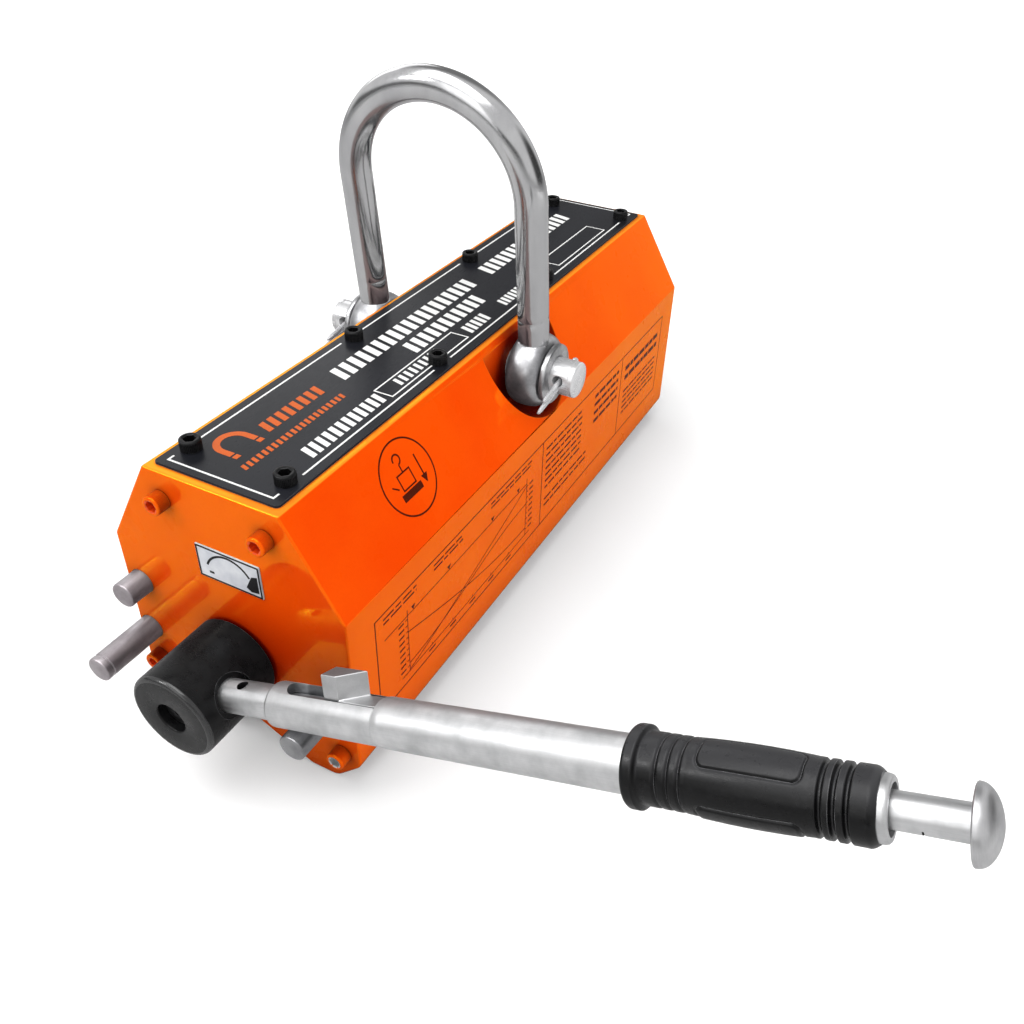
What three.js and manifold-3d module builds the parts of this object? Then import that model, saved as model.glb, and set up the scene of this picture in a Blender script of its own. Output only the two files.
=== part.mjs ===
// Permanent lifting magnet with a swinging shackle and a locking turning handle.
// Millimetres, +Z up. X runs along the body, with the handle end at -X. At rest the handle
// points to -Y. Heights in this file are measured from the plane of the pole feet; the last
// step lowers the assembly so that the origin lies on the underside of the separator strip.
import * as THREE from "three";
import { mergeVertices } from "three/addons/utils/BufferGeometryUtils.js";
import Module from "manifold-3d";

const wasm = await Module();
wasm.setup();

// ---- Driving dimensions -------------------------------------------------------------
// Body: an eight-sided section with a V groove under it, closed by a cover at each end.
const BODY_LENGTH = 460;
const BODY_WIDTH = 150;
const BODY_HEIGHT = 177;
const TOP_WIDTH = 84;
const SHOULDER_DROP = 54;
const FOOT_OUTER_WIDTH = 116;
const FOOT_CHAMFER_HEIGHT = 17;
const GROOVE_WIDTH = 80;
const GROOVE_DEPTH = 20;
const COVER_THICKNESS = 12;
const POLE_GAP = 20;

// Rotor and its bore.
const ROTOR_Z = 68;
const ROTOR_RADIUS = 40;
const ROTOR_LENGTH = 408;
const ROTOR_MAGNET_THICKNESS = 16;
const BORE_RADIUS = 41.5;
const SHAFT_RADIUS = 12;
const BUSH_RADIUS = 16;
const RUNNING_GAP = 0.1;
const FIT_GAP = 0.3;

// Hub and handle. Distances along the handle start at the rotor axis.
const HUB_RADIUS = 25.6;
const HUB_BACK_X = -232;
const HUB_FRONT_X = -282;
const HUB_FILLET = 2.4;
const HANDLE_X = -260;
const HANDLE_REST_DEG = 19.6;
const HANDLE_ON_DEG = 8;
const ROD_RADIUS = 8.75;
const ROD_START = -14;
const SLEEVE_RADIUS = 11.3;
const SLEEVE_START = 57;
const SLEEVE_END = 124.5;
const TUBE_RADIUS = 11.6;
const TUBE_BORE_RADIUS = 9;
const TUBE_END = 340.5;
const SLOT_START = 67.3;
const SLOT_WIDTH = 13.2;
const SLOT_TILT_DEG = 19.2;
const GRIP_START = 248;
const GRIP_END = 337.5;

// Sliding latch, pushed in by the knob.
const PLUNGER_RADIUS = 6.5;
const PLUNGER_START = 66;
const LATCH_TRAVEL = 20;
const BLOCK_START = 93.4;
const BLOCK_END = 123.9;
const BLOCK_THICKNESS = 10.9;
const BLOCK_TOP = 21.1;
const BLOCK_SHELF = 9.3;
const KNOB_START = 364.9;
const KNOB_END = 373.3;
const KNOB_RADIUS = 13.5;

// Stop pins in the front cover.
const STOP_RADIUS = 7.5;
const STOP_REACH = 64;
const LONG_STOP_TIP_X = -270;
const SHORT_STOP_TIP_X = -244.5;
const SHORT_STOP = { y: 64, z: 93 };

// Shackle and the pin that carries it.
const PIN_Z = 151;
const PIN_RADIUS = 11.5;
const PIN_HALF_LENGTH = 91;
const LEG_Y = 59.5;
const BAR_RADIUS = 9.75;
const EYE_RADIUS = 24;
const EYE_HALF_THICKNESS = 11.5;
const ARCH_CENTRE = 108.5;
const SHACKLE_LEAN_DEG = 7;
const POCKET_FLOOR_Y = 44.5;
const POCKET_RADIUS = 41.5;
const POCKET_Z = 165;
const WASHER_RADIUS = 19.5;
const WASHER_THICKNESS = 3.6;
const SPLIT_PIN_Y = 81;
const SPLIT_HOLE_RADIUS = 3.6;

// Plates and screws.
const PLATE_LENGTH = 450;
const PLATE_WIDTH = 77;
const PLATE_THICKNESS = 1.5;
const SCREW = { headRadius: 5.6, shankRadius: 4, socketRadius: 3.4, socketDepth: 4.5 };
const PLATE_HEAD_HEIGHT = 6.4;
const COVER_HEAD_HEIGHT = 8;
const PLATE_SCREW_X = [-207.5, -68, 73, 207.5];
const PLATE_SCREW_Y = 29.6;
const PLATE_SCREW_SHANK = 10;
const COVER_SCREWS = [
  { tag: "upper_left", y: 32.3, z: 160.5 },
  { tag: "upper_right", y: -32.3, z: 160.5 },
  { tag: "lower_left", y: 63.7, z: 36 },
  { tag: "lower_right", y: -63.7, z: 23.5 },
];
const COVER_SCREW_SHANK = 24;
const LABEL = { y: -5, z: 129.5, width: 41, height: 21, thickness: 0.8 };

// Sides used to facet round surfaces: large bores, ordinary turned parts, small holes.
const LARGE = 32;
const MEDIUM = 20;
const SMALL = 10;

// ---- Derived places -------------------------------------------------------------------
const HALF_LENGTH = BODY_LENGTH / 2;
const POLE_HALF_LENGTH = HALF_LENGTH - COVER_THICKNESS;
const SHOULDER_Z = BODY_HEIGHT - SHOULDER_DROP;
const degrees = THREE.MathUtils.degToRad;

// ---- Solids and boolean cuts -------------------------------------------------------------
function toSolid(geometry) {
  const bare = geometry.clone();
  bare.deleteAttribute("normal");
  bare.deleteAttribute("uv");
  const merged = mergeVertices(bare, 1e-4);
  return new wasm.Manifold(new wasm.Mesh({
    numProp: 3,
    vertProperties: Float32Array.from(merged.attributes.position.array),
    triVerts: Uint32Array.from(merged.index.array),
  }));
}

function toGeometry(solid) {
  const mesh = solid.getMesh();
  const geometry = new THREE.BufferGeometry();
  geometry.setAttribute("position", new THREE.BufferAttribute(mesh.vertProperties, 3));
  geometry.setIndex(new THREE.BufferAttribute(mesh.triVerts, 1));
  geometry.computeVertexNormals();
  return geometry;
}

function cut(geometry, ...tools) {
  return toGeometry(tools.reduce((rest, tool) => rest.subtract(toSolid(tool)), toSolid(geometry)));
}

function join(geometry, ...others) {
  return toGeometry(others.reduce((whole, other) => whole.add(toSolid(other)), toSolid(geometry)));
}

// ---- Plain shapes --------------------------------------------------------------------------
function box(x, y, z) {
  const size = [x, y, z].map(([low, high]) => high - low);
  const middle = [x, y, z].map(([low, high]) => (low + high) / 2);
  return new THREE.BoxGeometry(...size).translate(...middle);
}

function rodX(radius, from, to, y = 0, z = 0, segments = MEDIUM) {
  const rod = new THREE.CylinderGeometry(radius, radius, to - from, segments);
  return rod.rotateZ(Math.PI / 2).translate((from + to) / 2, y, z);
}

function rodY(radius, from, to, x = 0, z = 0, segments = MEDIUM) {
  const rod = new THREE.CylinderGeometry(radius, radius, to - from, segments);
  return rod.translate(x, (from + to) / 2, z);
}

function rodZ(radius, from, to, x = 0, y = 0, segments = MEDIUM) {
  const rod = new THREE.CylinderGeometry(radius, radius, to - from, segments);
  return rod.rotateX(Math.PI / 2).translate(x, y, (from + to) / 2);
}

// Turned piece about its own X axis: the profile is a list of [distance along X, radius].
function turnedX(profile, segments = MEDIUM) {
  const points = profile.map(([along, radius]) => new THREE.Vector2(radius, along));
  return new THREE.LatheGeometry(points, segments).rotateZ(-Math.PI / 2);
}

function extrudeAlongX(shape, from, to) {
  const solid = new THREE.ExtrudeGeometry(shape, { depth: to - from, bevelEnabled: false });
  return solid.rotateZ(Math.PI / 2).rotateY(Math.PI / 2).translate(from, 0, 0);
}

// ---- Materials and meshes ----------------------------------------------------------------------
const finishes = {
  orange: () => new THREE.MeshStandardMaterial({ color: 0xf25c05, roughness: 0.28, metalness: 0.0 }),
  blackPlate: () => new THREE.MeshStandardMaterial({ color: 0x26282c, roughness: 0.45, metalness: 0.1 }),
  blackOxide: () => new THREE.MeshStandardMaterial({ color: 0x141414, roughness: 0.5, metalness: 0.6 }),
  satinBlack: () => new THREE.MeshStandardMaterial({ color: 0x1b1b1c, roughness: 0.4, metalness: 0.2 }),
  stainless: () => new THREE.MeshStandardMaterial({ color: 0xb9bbbd, roughness: 0.22, metalness: 1.0 }),
  zinc: () => new THREE.MeshStandardMaterial({ color: 0xc6c8c9, roughness: 0.4, metalness: 0.9 }),
  steel: () => new THREE.MeshStandardMaterial({ color: 0x8f9194, roughness: 0.45, metalness: 0.9 }),
  bronze: () => new THREE.MeshStandardMaterial({ color: 0xa5763c, roughness: 0.4, metalness: 0.9 }),
  aluminium: () => new THREE.MeshStandardMaterial({ color: 0xc9ccd0, roughness: 0.5, metalness: 0.9 }),
  magnet: () => new THREE.MeshStandardMaterial({ color: 0x9da3ab, roughness: 0.3, metalness: 1.0 }),
  rubber: () => new THREE.MeshStandardMaterial({ color: 0x202022, roughness: 0.75, metalness: 0.0 }),
  label: () => new THREE.MeshStandardMaterial({ color: 0xdfe1e4, roughness: 0.35, metalness: 0.4 }),
};

function piece(parent, name, finish, geometry) {
  const mesh = new THREE.Mesh(geometry, finishes[finish]());
  mesh.name = name;
  parent.add(mesh);
  return mesh;
}

const magnetLifter = new THREE.Group();

// ---- Body section ----------------------------------------------------------------------------------
function fullSection() {
  const shape = new THREE.Shape();
  shape.moveTo(TOP_WIDTH / 2, BODY_HEIGHT);
  shape.lineTo(-TOP_WIDTH / 2, BODY_HEIGHT);
  shape.lineTo(-BODY_WIDTH / 2, SHOULDER_Z);
  shape.lineTo(-BODY_WIDTH / 2, FOOT_CHAMFER_HEIGHT);
  shape.lineTo(-FOOT_OUTER_WIDTH / 2, 0);
  shape.lineTo(-GROOVE_WIDTH / 2, 0);
  shape.lineTo(0, GROOVE_DEPTH);
  shape.lineTo(GROOVE_WIDTH / 2, 0);
  shape.lineTo(FOOT_OUTER_WIDTH / 2, 0);
  shape.lineTo(BODY_WIDTH / 2, FOOT_CHAMFER_HEIGHT);
  shape.lineTo(BODY_WIDTH / 2, SHOULDER_Z);
  return shape;
}

function coverScrewHoles(from, to) {
  return COVER_SCREWS.map(({ y, z }) => rodX(SCREW.shankRadius + FIT_GAP, from, to, y, z, SMALL));
}

function rotorBore() {
  return rodX(BORE_RADIUS, -HALF_LENGTH, HALF_LENGTH, 0, ROTOR_Z, LARGE);
}

function shacklePinHole() {
  return rodY(PIN_RADIUS + FIT_GAP, -BODY_WIDTH, BODY_WIDTH, 0, PIN_Z);
}

function shacklePocket(side) {
  const near = side * POCKET_FLOOR_Y;
  const far = side * BODY_WIDTH;
  return rodY(POCKET_RADIUS, Math.min(near, far), Math.max(near, far), 0, POCKET_Z, LARGE);
}

// ---- Pole blocks, spacers and fixed magnets ---------------------------------------------------
function poleBlock(side) {
  const inner = side * POLE_GAP / 2;
  const outer = side * BODY_WIDTH;
  const otherHalf = [Math.min(inner, -outer), Math.max(inner, -outer)];
  const keepOut = box([-HALF_LENGTH, HALF_LENGTH], otherHalf, [-10, 200]);
  const plateHoles = PLATE_SCREW_X.map((x) => rodZ(SCREW.shankRadius + FIT_GAP,
    BODY_HEIGHT - PLATE_SCREW_SHANK - 1, BODY_HEIGHT + 5, x, side * PLATE_SCREW_Y, SMALL));
  const holeDepth = COVER_SCREW_SHANK - COVER_THICKNESS + 1;
  return cut(
    extrudeAlongX(fullSection(), -POLE_HALF_LENGTH, POLE_HALF_LENGTH),
    keepOut, rotorBore(), shacklePinHole(), shacklePocket(side), ...plateHoles,
    ...coverScrewHoles(-HALF_LENGTH, -POLE_HALF_LENGTH + holeDepth),
    ...coverScrewHoles(POLE_HALF_LENGTH - holeDepth, HALF_LENGTH));
}

piece(magnetLifter, "left_pole_block", "orange", poleBlock(1));
piece(magnetLifter, "right_pole_block", "orange", poleBlock(-1));

const MAGNET_TOP = 133;
const MAGNET_BOTTOM = ROTOR_Z + BORE_RADIUS + 1.5;
const SPACER_Y = [-POLE_GAP / 2, POLE_GAP / 2];
const topSpacer = box([-POLE_HALF_LENGTH, POLE_HALF_LENGTH], SPACER_Y, [MAGNET_TOP + 1, BODY_HEIGHT]);
piece(magnetLifter, "top_spacer", "aluminium", cut(topSpacer, shacklePinHole()));

// The separator strip under the rotor has a flat underside, level with the apex of the groove.
const strip = box(
  [-POLE_HALF_LENGTH + FIT_GAP, POLE_HALF_LENGTH - FIT_GAP],
  [-POLE_GAP / 2 + FIT_GAP, POLE_GAP / 2 - FIT_GAP], [GROOVE_DEPTH, ROTOR_Z]);
piece(magnetLifter, "separator_strip", "bronze", cut(strip, rotorBore()));

for (const [tag, side] of [["front", -1], ["rear", 1]]) {
  const ends = [side * 3, side * (POLE_HALF_LENGTH - 8)].sort((a, b) => a - b);
  piece(magnetLifter, `fixed_magnet_${tag}`, "magnet", box(ends, SPACER_Y, [MAGNET_BOTTOM, MAGNET_TOP]));
}

// ---- Stop pins ------------------------------------------------------------------------------------
// Each long stop lies across the underside of the handle sleeve at one end of its turn.
function stopUnderHandle(side, elevationDeg) {
  const elevation = degrees(elevationDeg);
  const drop = SLEEVE_RADIUS + STOP_RADIUS + 0.4;
  return {
    y: side * (STOP_REACH * Math.cos(elevation) + drop * Math.sin(elevation)),
    z: ROTOR_Z + STOP_REACH * Math.sin(elevation) - drop * Math.cos(elevation),
  };
}

const OFF_STOP = stopUnderHandle(-1, HANDLE_REST_DEG);
const ON_STOP = stopUnderHandle(1, HANDLE_ON_DEG);
const STOP_BACK_X = -POLE_HALF_LENGTH - 1;
const STOP_CHAMFER = 0.8;

function stopPin(tipX, place) {
  const profile = [
    [tipX, 0], [tipX, STOP_RADIUS - STOP_CHAMFER], [tipX + STOP_CHAMFER, STOP_RADIUS],
    [STOP_BACK_X, STOP_RADIUS], [STOP_BACK_X, 0],
  ];
  return turnedX(profile).translate(0, place.y, place.z);
}

const ON_NOTCH = box([-267, -262], [ON_STOP.y + 5.6, ON_STOP.y + 12], [ON_STOP.z - 12, ON_STOP.z + 12]);
piece(magnetLifter, "on_stop_pin", "zinc", cut(stopPin(LONG_STOP_TIP_X, ON_STOP), ON_NOTCH));
piece(magnetLifter, "off_stop_pin", "zinc", stopPin(LONG_STOP_TIP_X, OFF_STOP));
piece(magnetLifter, "short_stop_pin", "zinc", stopPin(SHORT_STOP_TIP_X, SHORT_STOP));

// ---- End covers, bushes and rear cap -------------------------------------------------------------
function endCover(side, extraHoles) {
  const ends = [side * POLE_HALF_LENGTH, side * HALF_LENGTH].sort((a, b) => a - b);
  const past = [ends[0] - 2, ends[1] + 2];
  return cut(
    extrudeAlongX(fullSection(), ...ends),
    rodX(BUSH_RADIUS + FIT_GAP, ...past, 0, ROTOR_Z, LARGE),
    ...coverScrewHoles(...past), ...extraHoles(past));
}

const stopHoles = (past) => [ON_STOP, OFF_STOP, SHORT_STOP].map(
  ({ y, z }) => rodX(STOP_RADIUS + FIT_GAP, ...past, y, z));
piece(magnetLifter, "front_cover", "orange", endCover(-1, stopHoles));
piece(magnetLifter, "rear_cover", "orange", endCover(1, () => []));

const BUSH_FLANGE_RADIUS = 20;
const BUSH_FLANGE_THICKNESS = 3;
function shaftBush(side) {
  const inner = SHAFT_RADIUS + RUNNING_GAP;
  const back = POLE_HALF_LENGTH - FIT_GAP;
  const profile = [
    [HALF_LENGTH, inner], [back - BUSH_FLANGE_THICKNESS, inner],
    [back - BUSH_FLANGE_THICKNESS, BUSH_FLANGE_RADIUS], [back, BUSH_FLANGE_RADIUS],
    [back, BUSH_RADIUS], [HALF_LENGTH, BUSH_RADIUS], [HALF_LENGTH, inner],
  ];
  const bush = turnedX(profile, LARGE);
  if (side < 0) bush.rotateZ(Math.PI);
  return bush.translate(0, 0, ROTOR_Z);
}
piece(magnetLifter, "front_bush", "bronze", shaftBush(-1));
piece(magnetLifter, "rear_bush", "bronze", shaftBush(1));

const REAR_CAP = [
  [HALF_LENGTH, 0], [HALF_LENGTH, 23], [HALF_LENGTH + 2.6, 23], [HALF_LENGTH + 4, 21.4], [HALF_LENGTH + 4, 0],
];
piece(magnetLifter, "rear_cap", "orange", turnedX(REAR_CAP).translate(0, 0, ROTOR_Z));

// ---- Socket head screws ----------------------------------------------------------------------------
// Built along +X: the underside of the head at 0, the head towards +X, the shank towards -X.
function socketScrew(shankLength, headHeight) {
  const floor = headHeight - SCREW.socketDepth;
  return turnedX([
    [-shankLength, 0], [-shankLength, SCREW.shankRadius], [0, SCREW.shankRadius], [0, SCREW.headRadius],
    [headHeight, SCREW.headRadius], [headHeight, SCREW.socketRadius],
    [floor, SCREW.socketRadius], [floor, 0],
  ], SMALL);
}

for (const [end, side] of [["front", -1], ["rear", 1]]) {
  for (const { tag, y, z } of COVER_SCREWS) {
    const screw = piece(magnetLifter, `${end}_screw_${tag}`, "orange",
      socketScrew(COVER_SCREW_SHANK, COVER_HEAD_HEIGHT));
    screw.position.set(side * HALF_LENGTH, y, z);
    if (side < 0) screw.rotation.z = Math.PI;
  }
}

// ---- Name plate, its screws and the end label -----------------------------------------------------
const PLATE_TOP = BODY_HEIGHT + PLATE_THICKNESS;
const PLATE_SIDES = [["left", 1], ["right", -1]];
const plateHoles = PLATE_SIDES.flatMap(([, side]) => PLATE_SCREW_X.map(
  (x) => rodZ(SCREW.shankRadius + FIT_GAP, BODY_HEIGHT - 2, PLATE_TOP + 2, x, side * PLATE_SCREW_Y, SMALL)));
const namePlate = box(
  [-PLATE_LENGTH / 2, PLATE_LENGTH / 2], [-PLATE_WIDTH / 2, PLATE_WIDTH / 2], [BODY_HEIGHT, PLATE_TOP]);
piece(magnetLifter, "name_plate", "blackPlate", cut(namePlate, ...plateHoles));

for (const [word, side] of PLATE_SIDES) {
  PLATE_SCREW_X.forEach((x, index) => {
    const screw = piece(magnetLifter, `plate_screw_${word}_${index + 1}`, "blackOxide",
      socketScrew(PLATE_SCREW_SHANK, PLATE_HEAD_HEIGHT));
    screw.position.set(x, side * PLATE_SCREW_Y, PLATE_TOP);
    screw.rotation.y = -Math.PI / 2;
  });
}

piece(magnetLifter, "turn_label", "label", box(
  [-HALF_LENGTH - LABEL.thickness, -HALF_LENGTH],
  [LABEL.y - LABEL.width / 2, LABEL.y + LABEL.width / 2],
  [LABEL.z - LABEL.height / 2, LABEL.z + LABEL.height / 2]));

// ---- Shackle pin, washers and split pins -------------------------------------------------------------
// The split pins point down towards the handle end, in the plane across the end of the shackle pin.
const SPLIT_PIN_ANGLE = degrees(9);
const splitDirection = new THREE.Vector3(-Math.cos(SPLIT_PIN_ANGLE), 0, -Math.sin(SPLIT_PIN_ANGLE));

function splitHole(side) {
  const hole = new THREE.CylinderGeometry(SPLIT_HOLE_RADIUS, SPLIT_HOLE_RADIUS, 4 * PIN_RADIUS, SMALL);
  return hole.rotateZ(Math.PI / 2).rotateY(-SPLIT_PIN_ANGLE).translate(0, side * SPLIT_PIN_Y, PIN_Z);
}

const PIN_CHAMFER = 1.2;
const shacklePin = turnedX([
  [-PIN_HALF_LENGTH, 0], [-PIN_HALF_LENGTH, PIN_RADIUS - PIN_CHAMFER],
  [-PIN_HALF_LENGTH + PIN_CHAMFER, PIN_RADIUS], [PIN_HALF_LENGTH - PIN_CHAMFER, PIN_RADIUS],
  [PIN_HALF_LENGTH, PIN_RADIUS - PIN_CHAMFER], [PIN_HALF_LENGTH, 0],
]).rotateZ(Math.PI / 2).translate(0, 0, PIN_Z);
piece(magnetLifter, "shackle_pin", "stainless", cut(shacklePin, splitHole(1), splitHole(-1)));

const WASHER_INNER_Y = LEG_Y + EYE_HALF_THICKNESS + 0.5;
const SPLIT_WIRE_RADIUS = 1.5;
const SPLIT_LOOP_RADIUS = 4.2;
const SPLIT_LEG_LENGTH = 38;
const SPLIT_LOOP_START = 14;

// A split pin is one bent wire: a leg, an open loop, and a second leg beside the first.
function splitPin(side) {
  const gap = SPLIT_WIRE_RADIUS + 0.15;
  const points = [
    [SPLIT_LEG_LENGTH, gap], [SPLIT_LEG_LENGTH / 2, gap], [-SPLIT_LOOP_START, gap],
    [-SPLIT_LOOP_START - 2, SPLIT_LOOP_RADIUS * 0.8], [-SPLIT_LOOP_START - 6, SPLIT_LOOP_RADIUS],
    [-SPLIT_LOOP_START - 10, 0],
    [-SPLIT_LOOP_START - 6, -SPLIT_LOOP_RADIUS], [-SPLIT_LOOP_START - 2, -SPLIT_LOOP_RADIUS * 0.8],
    [-SPLIT_LOOP_START, -gap], [SPLIT_LEG_LENGTH / 2, -gap], [SPLIT_LEG_LENGTH, -gap],
  ];
  const across = new THREE.Vector3(-splitDirection.z, 0, splitDirection.x);
  const centre = new THREE.Vector3(0, side * SPLIT_PIN_Y, PIN_Z);
  const path = new THREE.CatmullRomCurve3(points.map(([along, off]) => centre.clone()
    .addScaledVector(splitDirection, along).addScaledVector(across, off)), false, "catmullrom", 0.2);
  const section = new THREE.Shape().absarc(0, 0, SPLIT_WIRE_RADIUS, 0, 2 * Math.PI);
  return new THREE.ExtrudeGeometry(section, {
    steps: 26, curveSegments: 4, extrudePath: path, bevelEnabled: false });
}

for (const [word, side] of PLATE_SIDES) {
  const ends = [side * WASHER_INNER_Y, side * (WASHER_INNER_Y + WASHER_THICKNESS)].sort((a, b) => a - b);
  const blank = rodY(WASHER_RADIUS, ...ends, 0, PIN_Z);
  piece(magnetLifter, `${word}_washer`, "stainless", cut(blank, shacklePinHole()));
  piece(magnetLifter, `${word}_split_pin`, "zinc", splitPin(side));
}

// ---- Shackle: a bent round bar with a rounded eye on each leg -------------------------------------------
const shackleGroup = new THREE.Group();
shackleGroup.position.set(0, 0, PIN_Z);
shackleGroup.rotation.y = -degrees(SHACKLE_LEAN_DEG);
magnetLifter.add(shackleGroup);

function shackleBow() {
  const path = new THREE.CurvePath();
  const leg = (y, from, to) => new THREE.LineCurve3(
    new THREE.Vector3(0, y, from), new THREE.Vector3(0, y, to));
  const arch = [];
  const ARCH_STEPS = 12;
  for (let step = 0; step <= ARCH_STEPS; step += 1) {
    const angle = Math.PI * step / ARCH_STEPS;
    arch.push(new THREE.Vector3(0, -LEG_Y * Math.cos(angle), ARCH_CENTRE + LEG_Y * Math.sin(angle)));
  }
  path.add(leg(-LEG_Y, 8, ARCH_CENTRE));
  path.add(new THREE.CatmullRomCurve3(arch, false, "centripetal"));
  path.add(leg(LEG_Y, ARCH_CENTRE, 8));
  const section = new THREE.Shape().absarc(0, 0, BAR_RADIUS, 0, 2 * Math.PI);
  return new THREE.ExtrudeGeometry(section, {
    steps: 22, curveSegments: 7, extrudePath: path, bevelEnabled: false });
}

function shackleEye(side) {
  const shoulder = 6;
  const half = EYE_HALF_THICKNESS;
  const profile = [[-half, 0], [-half, EYE_RADIUS - shoulder]];
  const ROUND_STEPS = 3;
  for (const [centre, first] of [[-half + shoulder, Math.PI], [half - shoulder, Math.PI / 2]]) {
    for (let step = 1; step <= ROUND_STEPS; step += 1) {
      const angle = first - (Math.PI / 2) * (step / ROUND_STEPS);
      profile.push([centre + shoulder * Math.cos(angle), EYE_RADIUS - shoulder + shoulder * Math.sin(angle)]);
    }
  }
  profile.push([half, 0]);
  return turnedX(profile).rotateZ(Math.PI / 2).translate(0, side * LEG_Y, 0);
}

const eyeBore = rodY(PIN_RADIUS + 0.6, -BODY_WIDTH, BODY_WIDTH);
piece(shackleGroup, "shackle", "stainless",
  cut(join(shackleBow(), shackleEye(1), shackleEye(-1)), eyeBore));

// ---- Rotor: two soft poles with magnets between them, and a flanged shaft at each end ------------------
function rotorPole(side) {
  const keepOut = side > 0
    ? box([-HALF_LENGTH, HALF_LENGTH], [-100, ROTOR_MAGNET_THICKNESS / 2], [0, 150])
    : box([-HALF_LENGTH, HALF_LENGTH], [-ROTOR_MAGNET_THICKNESS / 2, 100], [0, 150]);
  return cut(rodX(ROTOR_RADIUS, -ROTOR_LENGTH / 2, ROTOR_LENGTH / 2, 0, ROTOR_Z, LARGE), keepOut);
}
piece(magnetLifter, "rotor_pole_left", "steel", rotorPole(1));
piece(magnetLifter, "rotor_pole_right", "steel", rotorPole(-1));

const ROTOR_MAGNET_HALF_HEIGHT = ROTOR_RADIUS - 2.5;
for (const [tag, side] of [["front", -1], ["rear", 1]]) {
  const ends = [side * 0.5, side * (ROTOR_LENGTH / 2)].sort((a, b) => a - b);
  piece(magnetLifter, `rotor_magnet_${tag}`, "magnet", box(
    ends, [-ROTOR_MAGNET_THICKNESS / 2, ROTOR_MAGNET_THICKNESS / 2],
    [ROTOR_Z - ROTOR_MAGNET_HALF_HEIGHT, ROTOR_Z + ROTOR_MAGNET_HALF_HEIGHT]));
}

const FLANGE_RADIUS = 38;
const FLANGE_FACE = ROTOR_LENGTH / 2;
const FLANGE_THICKNESS = 8;
const FRONT_SHAFT_END = 249;
const REAR_SHAFT_END = 228;
function shaftWithFlange(endDistance) {
  return turnedX([
    [FLANGE_FACE, 0], [FLANGE_FACE, FLANGE_RADIUS], [FLANGE_FACE + FLANGE_THICKNESS, FLANGE_RADIUS],
    [FLANGE_FACE + FLANGE_THICKNESS, SHAFT_RADIUS], [endDistance, SHAFT_RADIUS], [endDistance, 0],
  ], LARGE);
}

const KEY = { width: 8, from: -248, to: -233, low: 8, high: 16 };
function keySlot(clearance) {
  return box([KEY.from - clearance, KEY.to + clearance],
    [-KEY.width / 2 - clearance, KEY.width / 2 + clearance],
    [ROTOR_Z + KEY.low - clearance, ROTOR_Z + KEY.high + clearance]);
}
const frontShaft = shaftWithFlange(FRONT_SHAFT_END).rotateZ(Math.PI).translate(0, 0, ROTOR_Z);
piece(magnetLifter, "front_shaft", "steel", cut(frontShaft, keySlot(FIT_GAP)));
piece(magnetLifter, "rear_shaft", "steel", shaftWithFlange(REAR_SHAFT_END).translate(0, 0, ROTOR_Z));
piece(magnetLifter, "hub_key", "steel", keySlot(0));

// ---- Handle frame: its local X runs out along the handle, its local Z is the handle's upper side --------
const handleGroup = new THREE.Group();
const handleElevation = degrees(HANDLE_REST_DEG);
const alongHandle = new THREE.Vector3(0, -Math.cos(handleElevation), Math.sin(handleElevation));
const aboveHandle = new THREE.Vector3(0, Math.sin(handleElevation), Math.cos(handleElevation));
const handleFrame = new THREE.Matrix4().makeBasis(alongHandle, new THREE.Vector3(1, 0, 0), aboveHandle);
handleFrame.setPosition(HANDLE_X, 0, ROTOR_Z);
handleGroup.applyMatrix4(handleFrame);
magnetLifter.add(handleGroup);

// ---- Hub: keyed to the shaft, cross-bored for the handle rod --------------------------------------------
const LOCK_SCREW_RADIUS = 8.7;
function hub() {
  const profile = [[HUB_BACK_X, 0], [HUB_BACK_X, HUB_RADIUS], [HUB_FRONT_X + HUB_FILLET, HUB_RADIUS]];
  const FILLET_STEPS = 3;
  for (let step = 1; step <= FILLET_STEPS; step += 1) {
    const angle = (Math.PI / 2) * (step / FILLET_STEPS);
    profile.push([
      HUB_FRONT_X + HUB_FILLET * (1 - Math.sin(angle)),
      HUB_RADIUS - HUB_FILLET * (1 - Math.cos(angle)),
    ]);
  }
  profile.push([HUB_FRONT_X, 0]);
  const blank = turnedX(profile.reverse(), LARGE).translate(0, 0, ROTOR_Z);
  const rodBore = rodX(ROD_RADIUS + FIT_GAP, ROD_START - 0.5, 40).applyMatrix4(handleFrame);
  const counterbore = rodX(12, HUB_RADIUS - 3, 40).applyMatrix4(handleFrame);
  return cut(blank, rodBore, counterbore,
    rodX(SHAFT_RADIUS + FIT_GAP, -FRONT_SHAFT_END - 0.5, HUB_BACK_X + 2, 0, ROTOR_Z),
    rodX(LOCK_SCREW_RADIUS + FIT_GAP, HUB_FRONT_X - 2, HANDLE_X, 0, ROTOR_Z),
    keySlot(FIT_GAP));
}
piece(magnetLifter, "hub", "satinBlack", hub());

const LOCK_SCREW_X = [-277, HANDLE_X - ROD_RADIUS - FIT_GAP];
const lockSocket = rodX(4, LOCK_SCREW_X[0] - 1, LOCK_SCREW_X[0] + 5, 0, ROTOR_Z, 6);
piece(magnetLifter, "hub_lock_screw", "blackOxide",
  cut(rodX(LOCK_SCREW_RADIUS, ...LOCK_SCREW_X, 0, ROTOR_Z), lockSocket));

// ---- Handle rod and slotted sleeve, turned from one bar ---------------------------------------------------
const SLEEVE_ROUND = 2.4;
const CROSS_HOLE_T = 36;
const CROSS_HOLE_RADIUS = 3;
const LATCH_SCREW_T = 106;
const PLUNGER_BORE = PLUNGER_RADIUS + 0.35;
// The slot and the latch block lean about the handle's axis, away from the lifter's front.
const leanLatch = (geometry) => geometry.rotateX(-degrees(SLOT_TILT_DEG));
const latchScrewRod = (radius, low, high) => leanLatch(rodZ(radius, low, high, LATCH_SCREW_T, 0, SMALL));

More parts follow.
